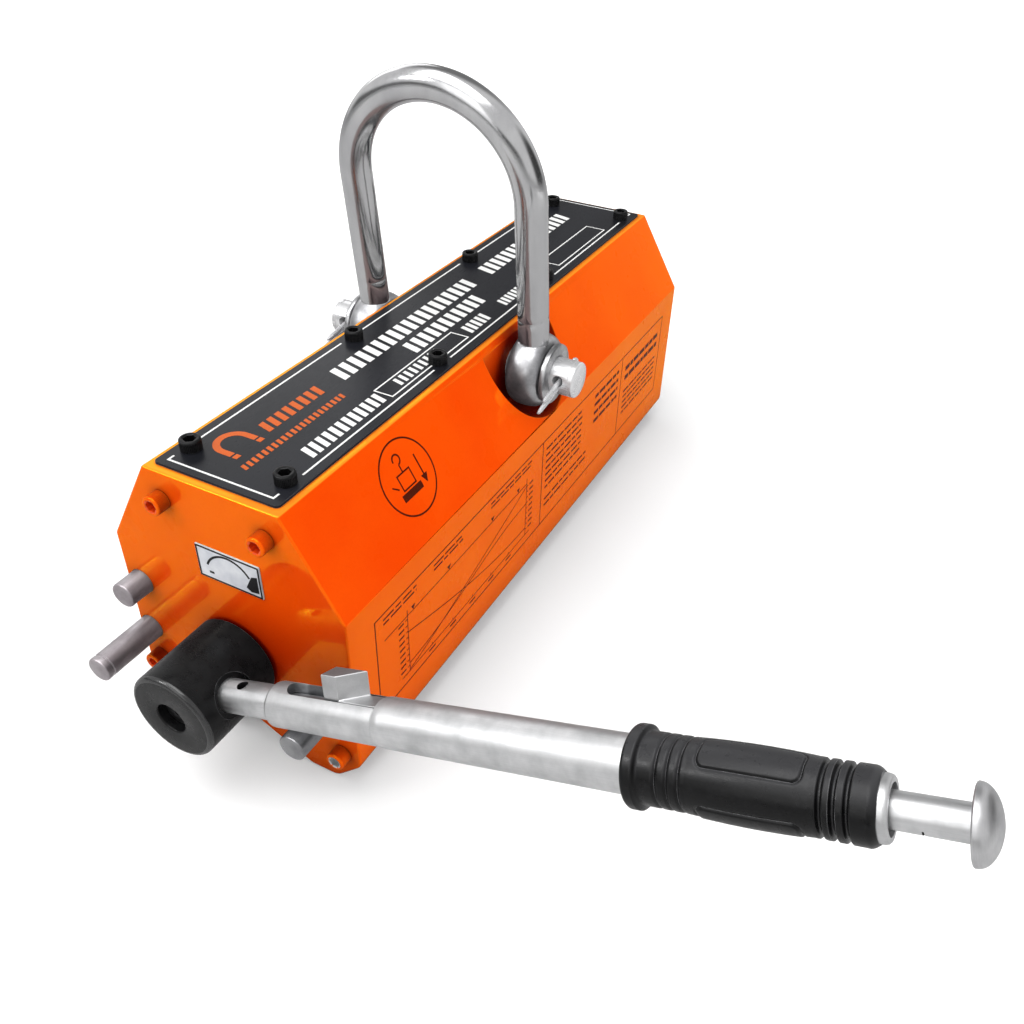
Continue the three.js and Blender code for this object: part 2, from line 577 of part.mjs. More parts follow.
function handleRod() {
  const outside = turnedX([
    [ROD_START, 0], [ROD_START, ROD_RADIUS], [SLEEVE_START, ROD_RADIUS],
    [SLEEVE_START + 0.7, SLEEVE_RADIUS - 1], [SLEEVE_START + SLEEVE_ROUND, SLEEVE_RADIUS],
    [SLEEVE_END, SLEEVE_RADIUS], [SLEEVE_END, 0],
  ]);
  const half = SLOT_WIDTH / 2;
  return cut(outside,
    rodX(PLUNGER_BORE, PLUNGER_START - LATCH_TRAVEL - 1, SLEEVE_END + 1),
    leanLatch(box([SLOT_START + half, SLEEVE_END + 1], [-half, half], [0, 20])),
    leanLatch(rodZ(half, 0, 20, SLOT_START + half, 0)),
    rodZ(CROSS_HOLE_RADIUS, -20, 20, CROSS_HOLE_T, 0, SMALL));
}
piece(handleGroup, "handle_rod", "zinc", handleRod());

const handleTube = turnedX([
  [SLEEVE_END, TUBE_BORE_RADIUS], [SLEEVE_END, TUBE_RADIUS], [TUBE_END, TUBE_RADIUS],
  [TUBE_END, TUBE_BORE_RADIUS], [SLEEVE_END, TUBE_BORE_RADIUS],
]);
piece(handleGroup, "handle_tube", "zinc", handleTube);

// A ring that fills the tube's bore around the plunger.
function boreRing(from, to, outer = TUBE_BORE_RADIUS - 0.05) {
  const inner = PLUNGER_BORE;
  return turnedX([[from, inner], [from, outer], [to, outer], [to, inner], [from, inner]]);
}
piece(handleGroup, "spring_seat", "steel", boreRing(250, 254));
piece(handleGroup, "tube_end_bush", "zinc", boreRing(TUBE_END - 12, TUBE_END));

// ---- Grip: a flanged rubber sleeve with three grooves near its end ---------------------------------
function gripProfile() {
  const flange = 16.1;
  const body = 14;
  const profile = [
    [GRIP_START, TUBE_RADIUS + 0.2], [GRIP_START, flange - 2], [GRIP_START + 2, flange],
    [GRIP_START + 5.5, flange], [GRIP_START + 10.5, body], [278, body], [313, body - 0.4],
  ];
  for (const groove of [319.4, 323.8, 328.2]) {
    profile.push([groove - 1.3, body - 0.2], [groove, body - 1.9], [groove + 1.3, body - 0.2]);
  }
  profile.push([GRIP_END - 1.5, body - 0.4], [GRIP_END, body - 1.9], [GRIP_END, TUBE_RADIUS + 0.2]);
  profile.push([GRIP_START, TUBE_RADIUS + 0.2]);
  return profile;
}
piece(handleGroup, "grip", "rubber", turnedX(gripProfile()));

// ---- Sliding latch ---------------------------------------------------------------------------------
const NOTCH_LOW = 3;
const blockSpan = [BLOCK_START, BLOCK_END];
const LATCH_SCREW_RADIUS = 2.5;
function plunger() {
  const half = BLOCK_THICKNESS / 2 + 4;
  return cut(rodX(PLUNGER_RADIUS, PLUNGER_START, KNOB_START + 2),
    leanLatch(box([BLOCK_START - FIT_GAP, BLOCK_END + FIT_GAP], [-half, half], [NOTCH_LOW - FIT_GAP, 10])),
    latchScrewRod(LATCH_SCREW_RADIUS + 0.2, -8, 4));
}
piece(handleGroup, "plunger", "zinc", plunger());

// Plan of the block above the slot: its outer front corner is cut back as a ramp.
function latchBlock() {
  const half = BLOCK_THICKNESS / 2;
  const base = box(blockSpan, [-half, half], [NOTCH_LOW, BLOCK_TOP]);
  const ramp = new THREE.Shape();
  ramp.moveTo(102.6, -half);
  ramp.lineTo(101.7, -half - 1);
  ramp.lineTo(BLOCK_END + 1, -half - 1);
  ramp.lineTo(BLOCK_END + 1, half + 1);
  ramp.lineTo(113.8, half + 1);
  const rampCut = new THREE.ExtrudeGeometry(ramp, { depth: 20, bevelEnabled: false })
    .translate(0, 0, BLOCK_SHELF);
  return leanLatch(cut(base, rampCut, rodZ(LATCH_SCREW_RADIUS + 0.2, 0, 11, LATCH_SCREW_T, 0, SMALL)));
}
piece(handleGroup, "latch_block", "zinc", latchBlock());
piece(handleGroup, "latch_screw", "steel", latchScrewRod(LATCH_SCREW_RADIUS, -5.5, 8.5));
piece(handleGroup, "plunger_collar", "steel", turnedX([
  [305, PLUNGER_RADIUS + 0.05], [305, TUBE_BORE_RADIUS - 0.4], [308, TUBE_BORE_RADIUS - 0.4],
  [308, PLUNGER_RADIUS + 0.05], [305, PLUNGER_RADIUS + 0.05],
]));

// Return spring, drawn at its compressed length, so it clears the spring seat when the latch slides.
const SPRING = { from: 276, to: 304, radius: 7.8, wire: 0.7, turns: 6 };
function latchSpring() {
  const points = [];
  const STEPS_PER_TURN = 8;
  const steps = SPRING.turns * STEPS_PER_TURN;
  for (let step = 0; step <= steps; step += 1) {
    const angle = 2 * Math.PI * step / STEPS_PER_TURN;
    const along = THREE.MathUtils.lerp(SPRING.from, SPRING.to, step / steps);
    points.push(new THREE.Vector3(along, SPRING.radius * Math.cos(angle), SPRING.radius * Math.sin(angle)));
  }
  const section = new THREE.Shape().absarc(0, 0, SPRING.wire, 0, 2 * Math.PI);
  return new THREE.ExtrudeGeometry(section, {
    steps, curveSegments: 2, extrudePath: new THREE.CatmullRomCurve3(points), bevelEnabled: false });
}
piece(handleGroup, "latch_spring", "steel", latchSpring());

const KNOB_BORE = PLUNGER_RADIUS + 0.1;
piece(handleGroup, "knob", "zinc", turnedX([
  [KNOB_START, KNOB_BORE], [KNOB_START, KNOB_RADIUS - 0.5], [KNOB_START + 0.8, KNOB_RADIUS],
  [KNOB_START + 2.4, KNOB_RADIUS - 0.6], [KNOB_START + 5.4, KNOB_RADIUS - 3.6],
  [KNOB_START + 7.8, KNOB_RADIUS - 8], [KNOB_END, 0],
  [KNOB_START + 2.1, 0], [KNOB_START + 2.1, KNOB_BORE], [KNOB_START, KNOB_BORE],
]));

magnetLifter.position.z = -GROOVE_DEPTH;

export default magnetLifter;
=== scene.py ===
"""Looks for the permanent lifting magnet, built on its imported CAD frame.

Lengths are millimetres and heights are measured from the pole feet, unless a name says metres.
Turned pieces are modelled along their own X axis and then placed by a frame matrix.
"""
import math

import bmesh
import bpy
from mathutils import Matrix, Vector, noise

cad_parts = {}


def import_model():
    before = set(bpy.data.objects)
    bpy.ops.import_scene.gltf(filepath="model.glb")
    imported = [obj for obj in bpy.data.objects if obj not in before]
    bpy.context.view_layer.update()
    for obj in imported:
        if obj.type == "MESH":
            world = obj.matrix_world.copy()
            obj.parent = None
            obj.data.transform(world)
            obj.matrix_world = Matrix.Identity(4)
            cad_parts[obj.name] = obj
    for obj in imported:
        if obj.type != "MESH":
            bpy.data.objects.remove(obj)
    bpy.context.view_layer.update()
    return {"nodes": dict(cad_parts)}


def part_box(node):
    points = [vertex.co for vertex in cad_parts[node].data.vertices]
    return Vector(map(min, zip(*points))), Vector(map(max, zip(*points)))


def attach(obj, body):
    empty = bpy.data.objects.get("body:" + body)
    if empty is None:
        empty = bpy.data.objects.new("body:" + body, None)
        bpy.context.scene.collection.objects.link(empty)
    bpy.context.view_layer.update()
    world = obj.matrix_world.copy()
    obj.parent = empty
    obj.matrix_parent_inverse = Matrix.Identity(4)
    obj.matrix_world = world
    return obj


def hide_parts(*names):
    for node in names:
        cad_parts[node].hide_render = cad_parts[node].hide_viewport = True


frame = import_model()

MM = 0.001
TURN = 2 * math.pi
SIDES = (("left", 1), ("right", -1))
ENDS = (("front", -1), ("rear", 1))
nodes = frame["nodes"]


# ---- Places taken from the CAD frame --------------------------------------------------------

FOOT_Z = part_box("left_pole_block")[0].z


def cad_box_mm(node):
    """Low and high corner of a CAD node in millimetres, with heights from the feet."""
    lift = Vector((0, 0, FOOT_Z))
    return [(corner - lift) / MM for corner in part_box(node)]


def cad_middle(node):
    low, high = cad_box_mm(node)
    return (low + high) / 2


COVER_FACE = cad_box_mm("rear_cover")[1].x
POLE_END = cad_box_mm("left_pole_block")[1].x
BODY_TOP = cad_box_mm("left_pole_block")[1].z
BODY_HALF_WIDTH = cad_box_mm("left_pole_block")[1].y
PLATE_LOW, PLATE_HIGH = cad_box_mm("name_plate")
PIN_Z = cad_middle("shackle_pin").z
PIN_END = cad_box_mm("shackle_pin")[1].y
PIN_RADIUS = (cad_box_mm("shackle_pin")[1].z - cad_box_mm("shackle_pin")[0].z) / 2
ROTOR_Z = cad_middle("hub").z
HANDLE_X = -260.0
HANDLE_REST = math.radians(19.6)
LATCH_LEAN = math.radians(19.2)
SHACKLE_LEAN = math.radians(7)


def placed(x, y, z, x_axis=(1, 0, 0), z_axis=(0, 0, 1)):
    """Frame matrix in metres: origin at (x, y, z), local X and Z along the given axes."""
    local_x = Vector(x_axis).normalized()
    local_z = Vector(z_axis).normalized()
    local_y = local_z.cross(local_x)
    matrix = Matrix((local_x, local_y, local_z)).transposed().to_4x4()
    matrix.translation = Vector((x, y, z)) * MM + Vector((0, 0, FOOT_Z))
    return matrix


BODY = placed(0, 0, 0)
ALONG = Vector((0, -math.cos(HANDLE_REST), math.sin(HANDLE_REST)))
ABOVE = Vector((0, math.sin(HANDLE_REST), math.cos(HANDLE_REST)))
HANDLE = placed(HANDLE_X, 0, ROTOR_Z, ALONG, ABOVE)
SHAFT = placed(0, 0, ROTOR_Z)
PIN = placed(0, 0, PIN_Z, (0, 1, 0), (0, 0, 1))
SHACKLE = placed(0, 0, PIN_Z) @ Matrix.Rotation(-SHACKLE_LEAN, 4, "Y")


# ---- Mesh building ----------------------------------------------------------------------------

def turned(rings, segments=96, close_start=True, close_end=True):
    """Surface of revolution about X from (along, radius) rings; a radius may be a function of the angle."""
    mesh = bmesh.new()
    loops = []
    for along, radius in rings:
        loop = []
        for step in range(segments):
            angle = TURN * step / segments
            r = radius(angle) if callable(radius) else radius
            loop.append(mesh.verts.new((along, r * math.cos(angle), r * math.sin(angle))))
        loops.append(loop)
    for first, second in zip(loops, loops[1:]):
        for step in range(segments):
            after = (step + 1) % segments
            mesh.faces.new((first[step], first[after], second[after], second[step]))
    if close_start:
        mesh.faces.new(loops[0][::-1])
    if close_end:
        mesh.faces.new(loops[-1])
    bmesh.ops.recalc_face_normals(mesh, faces=mesh.faces)
    return mesh


def turned_ring(rings, segments=96):
    """Hollow ring about X whose profile closes on itself."""
    mesh = turned(rings + rings[:1], segments, False, False)
    bmesh.ops.remove_doubles(mesh, verts=mesh.verts, dist=1e-5)
    bmesh.ops.recalc_face_normals(mesh, faces=mesh.faces)
    return mesh


def arc(centre, radius, start_deg, end_deg, steps=6):
    """Points of a circular arc in a (along, radius) profile."""
    points = []
    for step in range(steps + 1):
        angle = math.radians(start_deg + (end_deg - start_deg) * step / steps)
        points.append((centre[0] + radius * math.cos(angle), centre[1] + radius * math.sin(angle)))
    return points


def rounded_outline(corners):
    """Closed 2-D outline from (u, v, radius) corners, with every corner rounded by its radius."""
    outline = []
    for index, (u, v, radius) in enumerate(corners):
        corner = Vector((u, v))
        if radius == 0:
            outline.append(corner)
            continue
        back = (Vector(corners[index - 1][:2]) - corner).normalized()
        ahead = (Vector(corners[(index + 1) % len(corners)][:2]) - corner).normalized()
        half = back.angle(ahead) / 2
        centre = corner + (back + ahead).normalized() * radius / math.sin(half)
        start = corner + back * radius / math.tan(half) - centre
        sweep = math.pi - 2 * half
        if back.x * ahead.y - back.y * ahead.x > 0:
            sweep = -sweep
        steps = max(3, round(abs(math.degrees(sweep)) / 12))
        for step in range(steps + 1):
            outline.append(centre + Matrix.Rotation(sweep * step / steps, 2) @ start)
    return outline


def prism(outline, low, high, place):
    """Closed prism: place(u, v, depth) gives each corner of the outline at depths low and high."""
    mesh = bmesh.new()
    near = [mesh.verts.new(place(p[0], p[1], low)) for p in outline]
    far = [mesh.verts.new(place(p[0], p[1], high)) for p in outline]
    mesh.faces.new(near[::-1])
    mesh.faces.new(far)
    for index in range(len(outline)):
        after = (index + 1) % len(outline)
        mesh.faces.new((near[index], near[after], far[after], far[index]))
    bmesh.ops.recalc_face_normals(mesh, faces=mesh.faces)
    return mesh


def along_x(u, v, depth):
    return (depth, u, v)


def flat(u, v, depth):
    return (u, v, depth)


def block(x, y, z):
    """Box with the given (low, high) ranges."""
    outline = [(x[0], y[0]), (x[1], y[0]), (x[1], y[1]), (x[0], y[1])]
    return prism(outline, z[0], z[1], flat)


def rod(radius, low, high, segments=96, frame_matrix=None):
    """Plain rod along X, moved by a matrix in millimetres."""
    mesh = turned([(low, radius), (high, radius)], segments)
    if frame_matrix is not None:
        mesh.transform(frame_matrix)
    return mesh


def bevel_edges(mesh, chosen, width, segments=3):
    """Round the chosen edges of a bmesh."""
    edges = [edge for edge in mesh.edges if chosen(edge)]
    bmesh.ops.bevel(mesh, geom=edges, offset=width, segments=segments, profile=0.5,
                    affect="EDGES", clamp_overlap=True)


def sharpness(edge):
    """Angle between an edge's two faces, in degrees."""
    if len(edge.link_faces) != 2:
        return 0.0
    return math.degrees(edge.calc_face_angle(0.0))


def edge_middle(edge):
    return (edge.verts[0].co + edge.verts[1].co) / 2


def temporary(mesh):
    data = bpy.data.meshes.new("temporary")
    mesh.to_mesh(data)
    mesh.free()
    obj = bpy.data.objects.new("temporary", data)
    bpy.context.scene.collection.objects.link(obj)
    return obj


def combine(mesh, others, operation="DIFFERENCE"):
    """Boolean of a bmesh with others; returns a new bmesh."""
    target = temporary(mesh)
    helpers = []
    for other in others:
        helper = temporary(other)
        helpers.append(helper)
        modifier = target.modifiers.new("boolean", "BOOLEAN")
        modifier.operation = operation
        modifier.solver = "EXACT"
        modifier.object = helper
    depsgraph = bpy.context.evaluated_depsgraph_get()
    result = bmesh.new()
    result.from_mesh(target.evaluated_get(depsgraph).to_mesh())
    for obj in [target] + helpers:
        data = obj.data
        bpy.data.objects.remove(obj)
        bpy.data.meshes.remove(data)
    bmesh.ops.remove_doubles(result, verts=result.verts, dist=1e-4)
    return result


def add_piece(name, mesh, body, materials, placement=BODY, replaces=(), sharp=32, weighted=False):
    """Turn a bmesh in millimetres into an object that rides on a CAD body."""
    mesh.transform(Matrix.Scale(MM, 4))
    data = bpy.data.meshes.new(name)
    mesh.to_mesh(data)
    mesh.free()
    for material in materials:
        data.materials.append(material)
    data.polygons.foreach_set("use_smooth", [True] * len(data.polygons))
    data.set_sharp_from_angle(angle=math.radians(sharp))
    obj = bpy.data.objects.new(name, data)
    bpy.context.scene.collection.objects.link(obj)
    obj.matrix_world = placement
    if weighted:
        modifier = obj.modifiers.new("weighted_normals", "WEIGHTED_NORMAL")
        modifier.keep_sharp = True
        modifier.weight = 80
    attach(obj, body)
    if replaces:
        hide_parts(*replaces)
    return obj


# ---- Materials -----------------------------------------------------------------------------------

def srgb(red, green, blue):
    """Linear colour with alpha from 0-255 screen values."""
    def linear(value):
        value /= 255
        return value / 12.92 if value <= 0.04045 else ((value + 0.055) / 1.055) ** 2.4
    return (linear(red), linear(green), linear(blue), 1.0)


class Graph:
    """Small helper for building one Principled material from noise."""

    def __init__(self, name, base, metallic=0.0, roughness=0.5, **inputs):
        self.material = bpy.data.materials.new(name)
        self.material.use_nodes = True
        self.tree = self.material.node_tree
        self.shader = self.tree.nodes["Principled BSDF"]
        self.shader.inputs["Base Color"].default_value = base
        self.shader.inputs["Metallic"].default_value = metallic
        self.shader.inputs["Roughness"].default_value = roughness
        for key, value in inputs.items():
            self.shader.inputs[key.replace("_", " ")].default_value = value
        self.material.diffuse_color = base
        self.position = self.node("ShaderNodeTexCoord").outputs["Object"]
        self.normal = None

    def node(self, kind, inputs=None, **settings):
        made = self.tree.nodes.new(kind)
        for key, value in settings.items():
            setattr(made, key, value)
        for key, value in (inputs or {}).items():
            if isinstance(value, bpy.types.NodeSocket):
                self.tree.links.new(value, made.inputs[key])
            else:
                made.inputs[key].default_value = value
        return made

    def noise(self, size_mm, stretch=(1, 1, 1), detail=3.0, rough=0.55, distortion=0.0):
        """Noise from 0 to 1 whose features are about size_mm across, longer along a stretched axis."""
        scale = [1 / (size_mm * MM * s) for s in stretch]
        mapping = self.node("ShaderNodeMapping", {"Vector": self.position, "Scale": scale})
        made = self.node("ShaderNodeTexNoise", {
            "Vector": mapping.outputs["Vector"], "Scale": 1.0, "Detail": detail,
            "Roughness": rough, "Distortion": distortion})
        return made.outputs["Fac"]

    def remap(self, value, low, high, to_low=0.0, to_high=1.0):
        made = self.node("ShaderNodeMapRange", {
            "Value": value, "From Min": low, "From Max": high, "To Min": to_low, "To Max": to_high})
        return made.outputs["Result"]

    def math(self, operation, first, second):
        made = self.node("ShaderNodeMath", {0: first, 1: second}, operation=operation)
        return made.outputs["Value"]

    def mix(self, factor, first, second):
        made = self.node("ShaderNodeMix", data_type="RGBA")
        for socket, value in ((0, factor), (6, first), (7, second)):
            if isinstance(value, bpy.types.NodeSocket):
                self.tree.links.new(value, made.inputs[socket])
            else:
                made.inputs[socket].default_value = value
        return made.outputs[2]

    def edges(self, radius_mm):
        """0 on flat surface, rising to 1 on an edge."""
        rounded = self.node("ShaderNodeBevel", {"Radius": radius_mm * MM}, samples=6)
        geometry = self.node("ShaderNodeNewGeometry")
        dot = self.node("ShaderNodeVectorMath", {
            0: rounded.outputs["Normal"], 1: geometry.outputs["Normal"]}, operation="DOT_PRODUCT")
        return self.remap(dot.outputs["Value"], 0.995, 0.85)

    def bump(self, height, depth_mm, strength=1.0):
        inputs = {"Height": height, "Distance": depth_mm * MM, "Strength": strength}
        if self.normal is not None:
            inputs["Normal"] = self.normal
        self.normal = self.node("ShaderNodeBump", inputs).outputs["Normal"]
        self.tree.links.new(self.normal, self.shader.inputs["Normal"])

    def colour(self, socket):
        self.tree.links.new(socket, self.shader.inputs["Base Color"])

    def roughness(self, socket):
        self.tree.links.new(socket, self.shader.inputs["Roughness"])


def orange_paint():
    """Glossy sprayed enamel: warm reflections, slight orange peel, faint clouds, edges rubbed lighter with a painted
    highlight, a painted highlight strip along the top and painted dark red shade in recesses.

    Its glow on the floor and in the bright metal beside it is muted, as on the real lifter: bounced and mirrored rays
    see the paint as grey.
    """
    graph = Graph("orange_paint", srgb(243, 73, 2), roughness=0.3, Specular_IOR_Level=0.03)
    clouds = graph.remap(graph.noise(70), 0.35, 0.65)
    colour = graph.mix(clouds, srgb(241, 68, 1), srgb(246, 79, 3))
    fine = graph.remap(graph.noise(1.4, detail=2), 0.45, 0.75)
    colour = graph.mix(graph.math("MULTIPLY", fine, 0.12), colour, srgb(226, 54, 0))
    along = graph.node("ShaderNodeSeparateXYZ", {"Vector": graph.position}).outputs["X"]
    from_joint = graph.math("ABSOLUTE", graph.math("SUBTRACT", graph.math("ABSOLUTE", along, 0.0),
                                                   POLE_END * MM), 0.0)
    off_joint = graph.remap(from_joint, 0.0015, 0.003)
    # Edges rubbed lighter, with a painted highlight: the light orange also stands for the glint on the rounded edges.
    # It is kept off the joint between covers and poles.
    rubbed = graph.math("MULTIPLY", graph.edges(1.0), graph.remap(graph.noise(5), 0.3, 0.7, 0.35, 0.9))
    colour = graph.mix(graph.math("MULTIPLY", rubbed, off_joint), colour, srgb(255, 166, 56))
    # Painted highlight: a light yellow-orange strip along the top edge, where the top face catches the light.
    high = graph.node("ShaderNodeSeparateXYZ", {"Vector": graph.position}).outputs["Z"]
    top_edge_highlight = graph.remap(high, (BODY_TOP - 0.7) * MM, (BODY_TOP - 0.2) * MM)
    colour = graph.mix(graph.math("MULTIPLY", top_edge_highlight, 0.75), colour, srgb(255, 150, 40))
    # Painted shade: where occlusion is high, in recesses such as the shackle pocket, the colour turns dark red.
    nearness = graph.node("ShaderNodeAmbientOcclusion", {"Distance": 0.05}).outputs["AO"]
    recess = graph.remap(nearness, 0.25, 0.9, 0.95, 0.0)
    colour = graph.mix(recess, colour, srgb(120, 6, 0))
    # Painted reflection: to bounced and mirrored rays the paint is grey, which mutes its orange glow on the floor and
    # in the metal.
    path = graph.node("ShaderNodeLightPath")
    bounced = graph.math("MAXIMUM", path.outputs["Is Glossy Ray"], path.outputs["Is Diffuse Ray"])
    muted = graph.math("MULTIPLY", bounced, 0.93)
    graph.colour(graph.mix(muted, colour, srgb(122, 114, 115)))
    graph.roughness(graph.remap(graph.noise(22), 0.3, 0.7, 0.25, 0.35))
    graph.bump(graph.noise(2.6, detail=2), 0.015, 0.25)
    graph.bump(graph.noise(30, detail=1), 0.1, 0.2)
    # The painted recess shade also darkens the reflection tint there.
    tint = graph.mix(recess, (1.0, 0.70, 0.02, 1), (0.28, 0.02, 0.0, 1))
    tint = graph.mix(muted, tint, (0.4, 0.4, 0.4, 1))
    gloss = graph.node("ShaderNodeBsdfGlossy", {
        "Color": tint, "Roughness": graph.remap(graph.noise(22), 0.3, 0.7, 0.015, 0.06),
        "Normal": graph.normal})
    fresnel = graph.node("ShaderNodeFresnel", {"IOR": 2.0, "Normal": graph.normal}).outputs["Fac"]
    both = graph.node("ShaderNodeMixShader", {
        0: fresnel, 1: graph.shader.outputs["BSDF"], 2: gloss.outputs["BSDF"]})
    output = graph.tree.nodes["Material Output"]
    graph.tree.links.new(both.outputs["Shader"], output.inputs["Surface"])
    return graph.material


def socket_shade_paint():
    """The same enamel inside a screw socket, duller, and painted darker for the shade in the recess."""
    graph = Graph("socket_shade_paint", srgb(214, 60, 2), roughness=0.4)
    colour = graph.mix(graph.remap(graph.noise(1.2), 0.35, 0.65), srgb(196, 48, 0), srgb(232, 74, 4))
    graph.colour(colour)
    graph.bump(graph.noise(0.8), 0.05, 0.6)
    return graph.material


def brushed_metal(name, light, dark, roughness, stretch, grain_mm, bump_mm, blotch_mm=14, metallic=1.0):
    """Metal with a drawn or turned grain, soft blotches and worn bright edges."""
    graph = Graph(name, light, metallic=metallic, roughness=roughness)
    grain = graph.noise(grain_mm, stretch, detail=4, rough=0.65)
    blotches = graph.remap(graph.noise(blotch_mm, detail=4), 0.35, 0.7)
    colour = graph.mix(blotches, light, dark)
    colour = graph.mix(graph.math("MULTIPLY", graph.remap(grain, 0.4, 0.75), 0.25), colour, dark)
    graph.colour(graph.mix(graph.math("MULTIPLY", graph.edges(0.5), 0.5), colour, srgb(245, 245, 246)))
    spread = graph.math("ADD", graph.remap(grain, 0.25, 0.75, -0.07, 0.09),
                        graph.remap(blotches, 0, 1, roughness - 0.03, roughness + 0.08))
    graph.roughness(spread)
    graph.bump(grain, bump_mm, 0.5)
    return graph.material


def polished_steel():
    """Mirror-polished stainless bar with faint smears and hairline marks."""
    graph = Graph("polished_steel", srgb(204, 204, 206), metallic=1.0, roughness=0.2)
    smear = graph.remap(graph.noise(18, (1, 1, 2.5), detail=5), 0.35, 0.7)
    graph.colour(graph.mix(smear, srgb(208, 208, 209), srgb(188, 188, 190)))
    hair = graph.noise(0.5, (1, 1, 26), detail=3)
    graph.roughness(graph.math("ADD", graph.remap(smear, 0, 1, 0.14, 0.2),
                               graph.remap(hair, 0.35, 0.7, -0.02, 0.06)))
    graph.bump(hair, 0.01, 0.25)
    graph.bump(graph.noise(40, detail=1), 0.06, 0.2)
    return graph.material


def black_coating(name, base, edge, roughness, metallic, grain_mm, bump_mm, stretch=(1, 1, 1), shine=0.5):
    """Dark coating on steel with a fine grain, rubbed lighter on the edges."""
    graph = Graph(name, base, metallic=metallic, roughness=roughness, Specular_IOR_Level=shine)
    grain = graph.noise(grain_mm, stretch, detail=4)
    patch = graph.remap(graph.noise(9, detail=4), 0.35, 0.7)
    colour = graph.mix(patch, base, tuple(min(1, c * 1.6 + 0.003) for c in base[:3]) + (1,))
    lighter_edges = graph.math("MULTIPLY", graph.edges(0.45), graph.remap(graph.noise(2.5), 0.35, 0.65, 0.2, 0.9))
    graph.colour(graph.mix(lighter_edges, colour, edge))
    graph.roughness(graph.math("ADD", graph.remap(grain, 0.3, 0.7, -0.05, 0.06),
                               graph.remap(patch, 0, 1, roughness - 0.04, roughness + 0.06)))
    graph.bump(grain, bump_mm, 0.5)
    return graph.material


def rubber():
    """Moulded rubber: fine mould grain, a little dust, a soft sheen, a painted highlight on its upper side and painted
    glints on its edges.
    """
    graph = Graph("grip_rubber", srgb(12, 12, 13), roughness=0.3, Specular_IOR_Level=0.24)
    dust = graph.remap(graph.noise(7, detail=6, rough=0.7), 0.52, 0.75)
    # Painted highlight: faces turned upwards are lighter, where the light from above falls on them.
    facing = graph.node("ShaderNodeNewGeometry").outputs["Normal"]
    upward = graph.node("ShaderNodeSeparateXYZ", {"Vector": facing}).outputs["Z"]
    upper_side_highlight = graph.remap(upward, 0.6, 1.0, 0.0, 0.9)
    colour = graph.mix(graph.math("MULTIPLY", dust, 0.35), srgb(9, 9, 10), srgb(34, 34, 36))
    colour = graph.mix(upper_side_highlight, colour, srgb(60, 60, 62))
    # Painted glints: groove and panel edges turn light grey.
    lighter_edges = graph.math("MULTIPLY", graph.edges(0.5), graph.remap(graph.noise(4), 0.3, 0.7, 0.2, 0.8))
    graph.colour(graph.mix(lighter_edges, colour, srgb(150, 150, 152)))
    graph.roughness(graph.remap(graph.noise(3, detail=5), 0.3, 0.7, 0.24, 0.4))
    graph.bump(graph.noise(0.6, detail=3), 0.05, 0.45)
    graph.bump(graph.noise(0.18, detail=2), 0.02, 0.3)
    return graph.material


def plate_black():
    """Dark printed plate: charcoal clouding with a soft sheen."""
    graph = Graph("plate_black", srgb(30, 31, 34), roughness=0.3, Specular_IOR_Level=0.2)
    clouds = graph.remap(graph.noise(60, (2.5, 1, 1), detail=2), 0.3, 0.7)
    colour = graph.mix(clouds, srgb(20, 21, 25), srgb(32, 33, 38))
    graph.colour(graph.mix(graph.math("MULTIPLY", graph.edges(0.4), 0.5), colour, srgb(120, 120, 122)))
    grain = graph.noise(0.5, (14, 1, 1), detail=3)
    graph.roughness(graph.remap(grain, 0.3, 0.7, 0.26, 0.4))
    graph.bump(grain, 0.012, 0.35)
    return graph.material


def ink(name, base, worn, roughness=0.4, shine=0.5):
    """Screen-printed ink with tiny gaps where it has rubbed thin."""
    graph = Graph(name, base, roughness=roughness, Specular_IOR_Level=shine)
    thin = graph.remap(graph.noise(0.9, detail=5, rough=0.7), 0.56, 0.72)
    graph.colour(graph.mix(graph.math("MULTIPLY", thin, 0.6), base, worn))
    graph.bump(graph.noise(0.4, detail=2), 0.01, 0.4)
    return graph.material


def label_foil():
    """Silver-white label stock."""
    graph = Graph("label_foil", srgb(226, 228, 232), metallic=0.35, roughness=0.35)
    clouds = graph.remap(graph.noise(12, detail=3), 0.3, 0.7)
    graph.colour(graph.mix(clouds, srgb(234, 236, 240), srgb(205, 208, 216)))
    graph.roughness(graph.remap(graph.noise(3), 0.3, 0.7, 0.28, 0.42))
    graph.bump(graph.noise(5, detail=2), 0.05, 0.3)
    return graph.material


ORANGE = orange_paint()
SOCKET_SHADE_PAINT = socket_shade_paint()
POLISHED = polished_steel()
RUBBER = rubber()
PLATE_BLACK = plate_black()
LABEL_FOIL = label_foil()
WHITE_INK = ink("white_ink", srgb(238, 238, 236), srgb(168, 168, 168))
ORANGE_INK = ink("orange_ink", srgb(198, 88, 24), srgb(120, 58, 24), shine=0.2)
DARK_INK = ink("dark_ink", srgb(70, 20, 4), srgb(140, 44, 4), shine=0.06)
BLACK_INK = ink("black_ink", srgb(18, 18, 20), srgb(70, 70, 72), shine=0.15)
HUB_BLACK = black_coating("hub_black", srgb(10, 10, 11), srgb(110, 110, 112), 0.3, 0.0, 0.7, 0.015, (1, 6, 6), 0.2)
HUB_RIM = black_coating("hub_rim", srgb(20, 20, 21), srgb(120, 120, 122), 0.24, 0.0, 0.7, 0.01, (1, 6, 6), 0.75)
BLACK_OXIDE = black_coating("black_oxide", srgb(20, 20, 21), srgb(112, 112, 114), 0.4, 0.7, 0.35, 0.015)
ZINC = brushed_metal("zinc_drawn", srgb(228, 228, 229), srgb(194, 195, 196), 0.4, (18, 1, 1), 0.6, 0.012)
STUD_STEEL = brushed_metal("stud_steel", srgb(172, 172, 174), srgb(128, 128, 131), 0.3, (16, 1, 1), 0.5, 0.015)
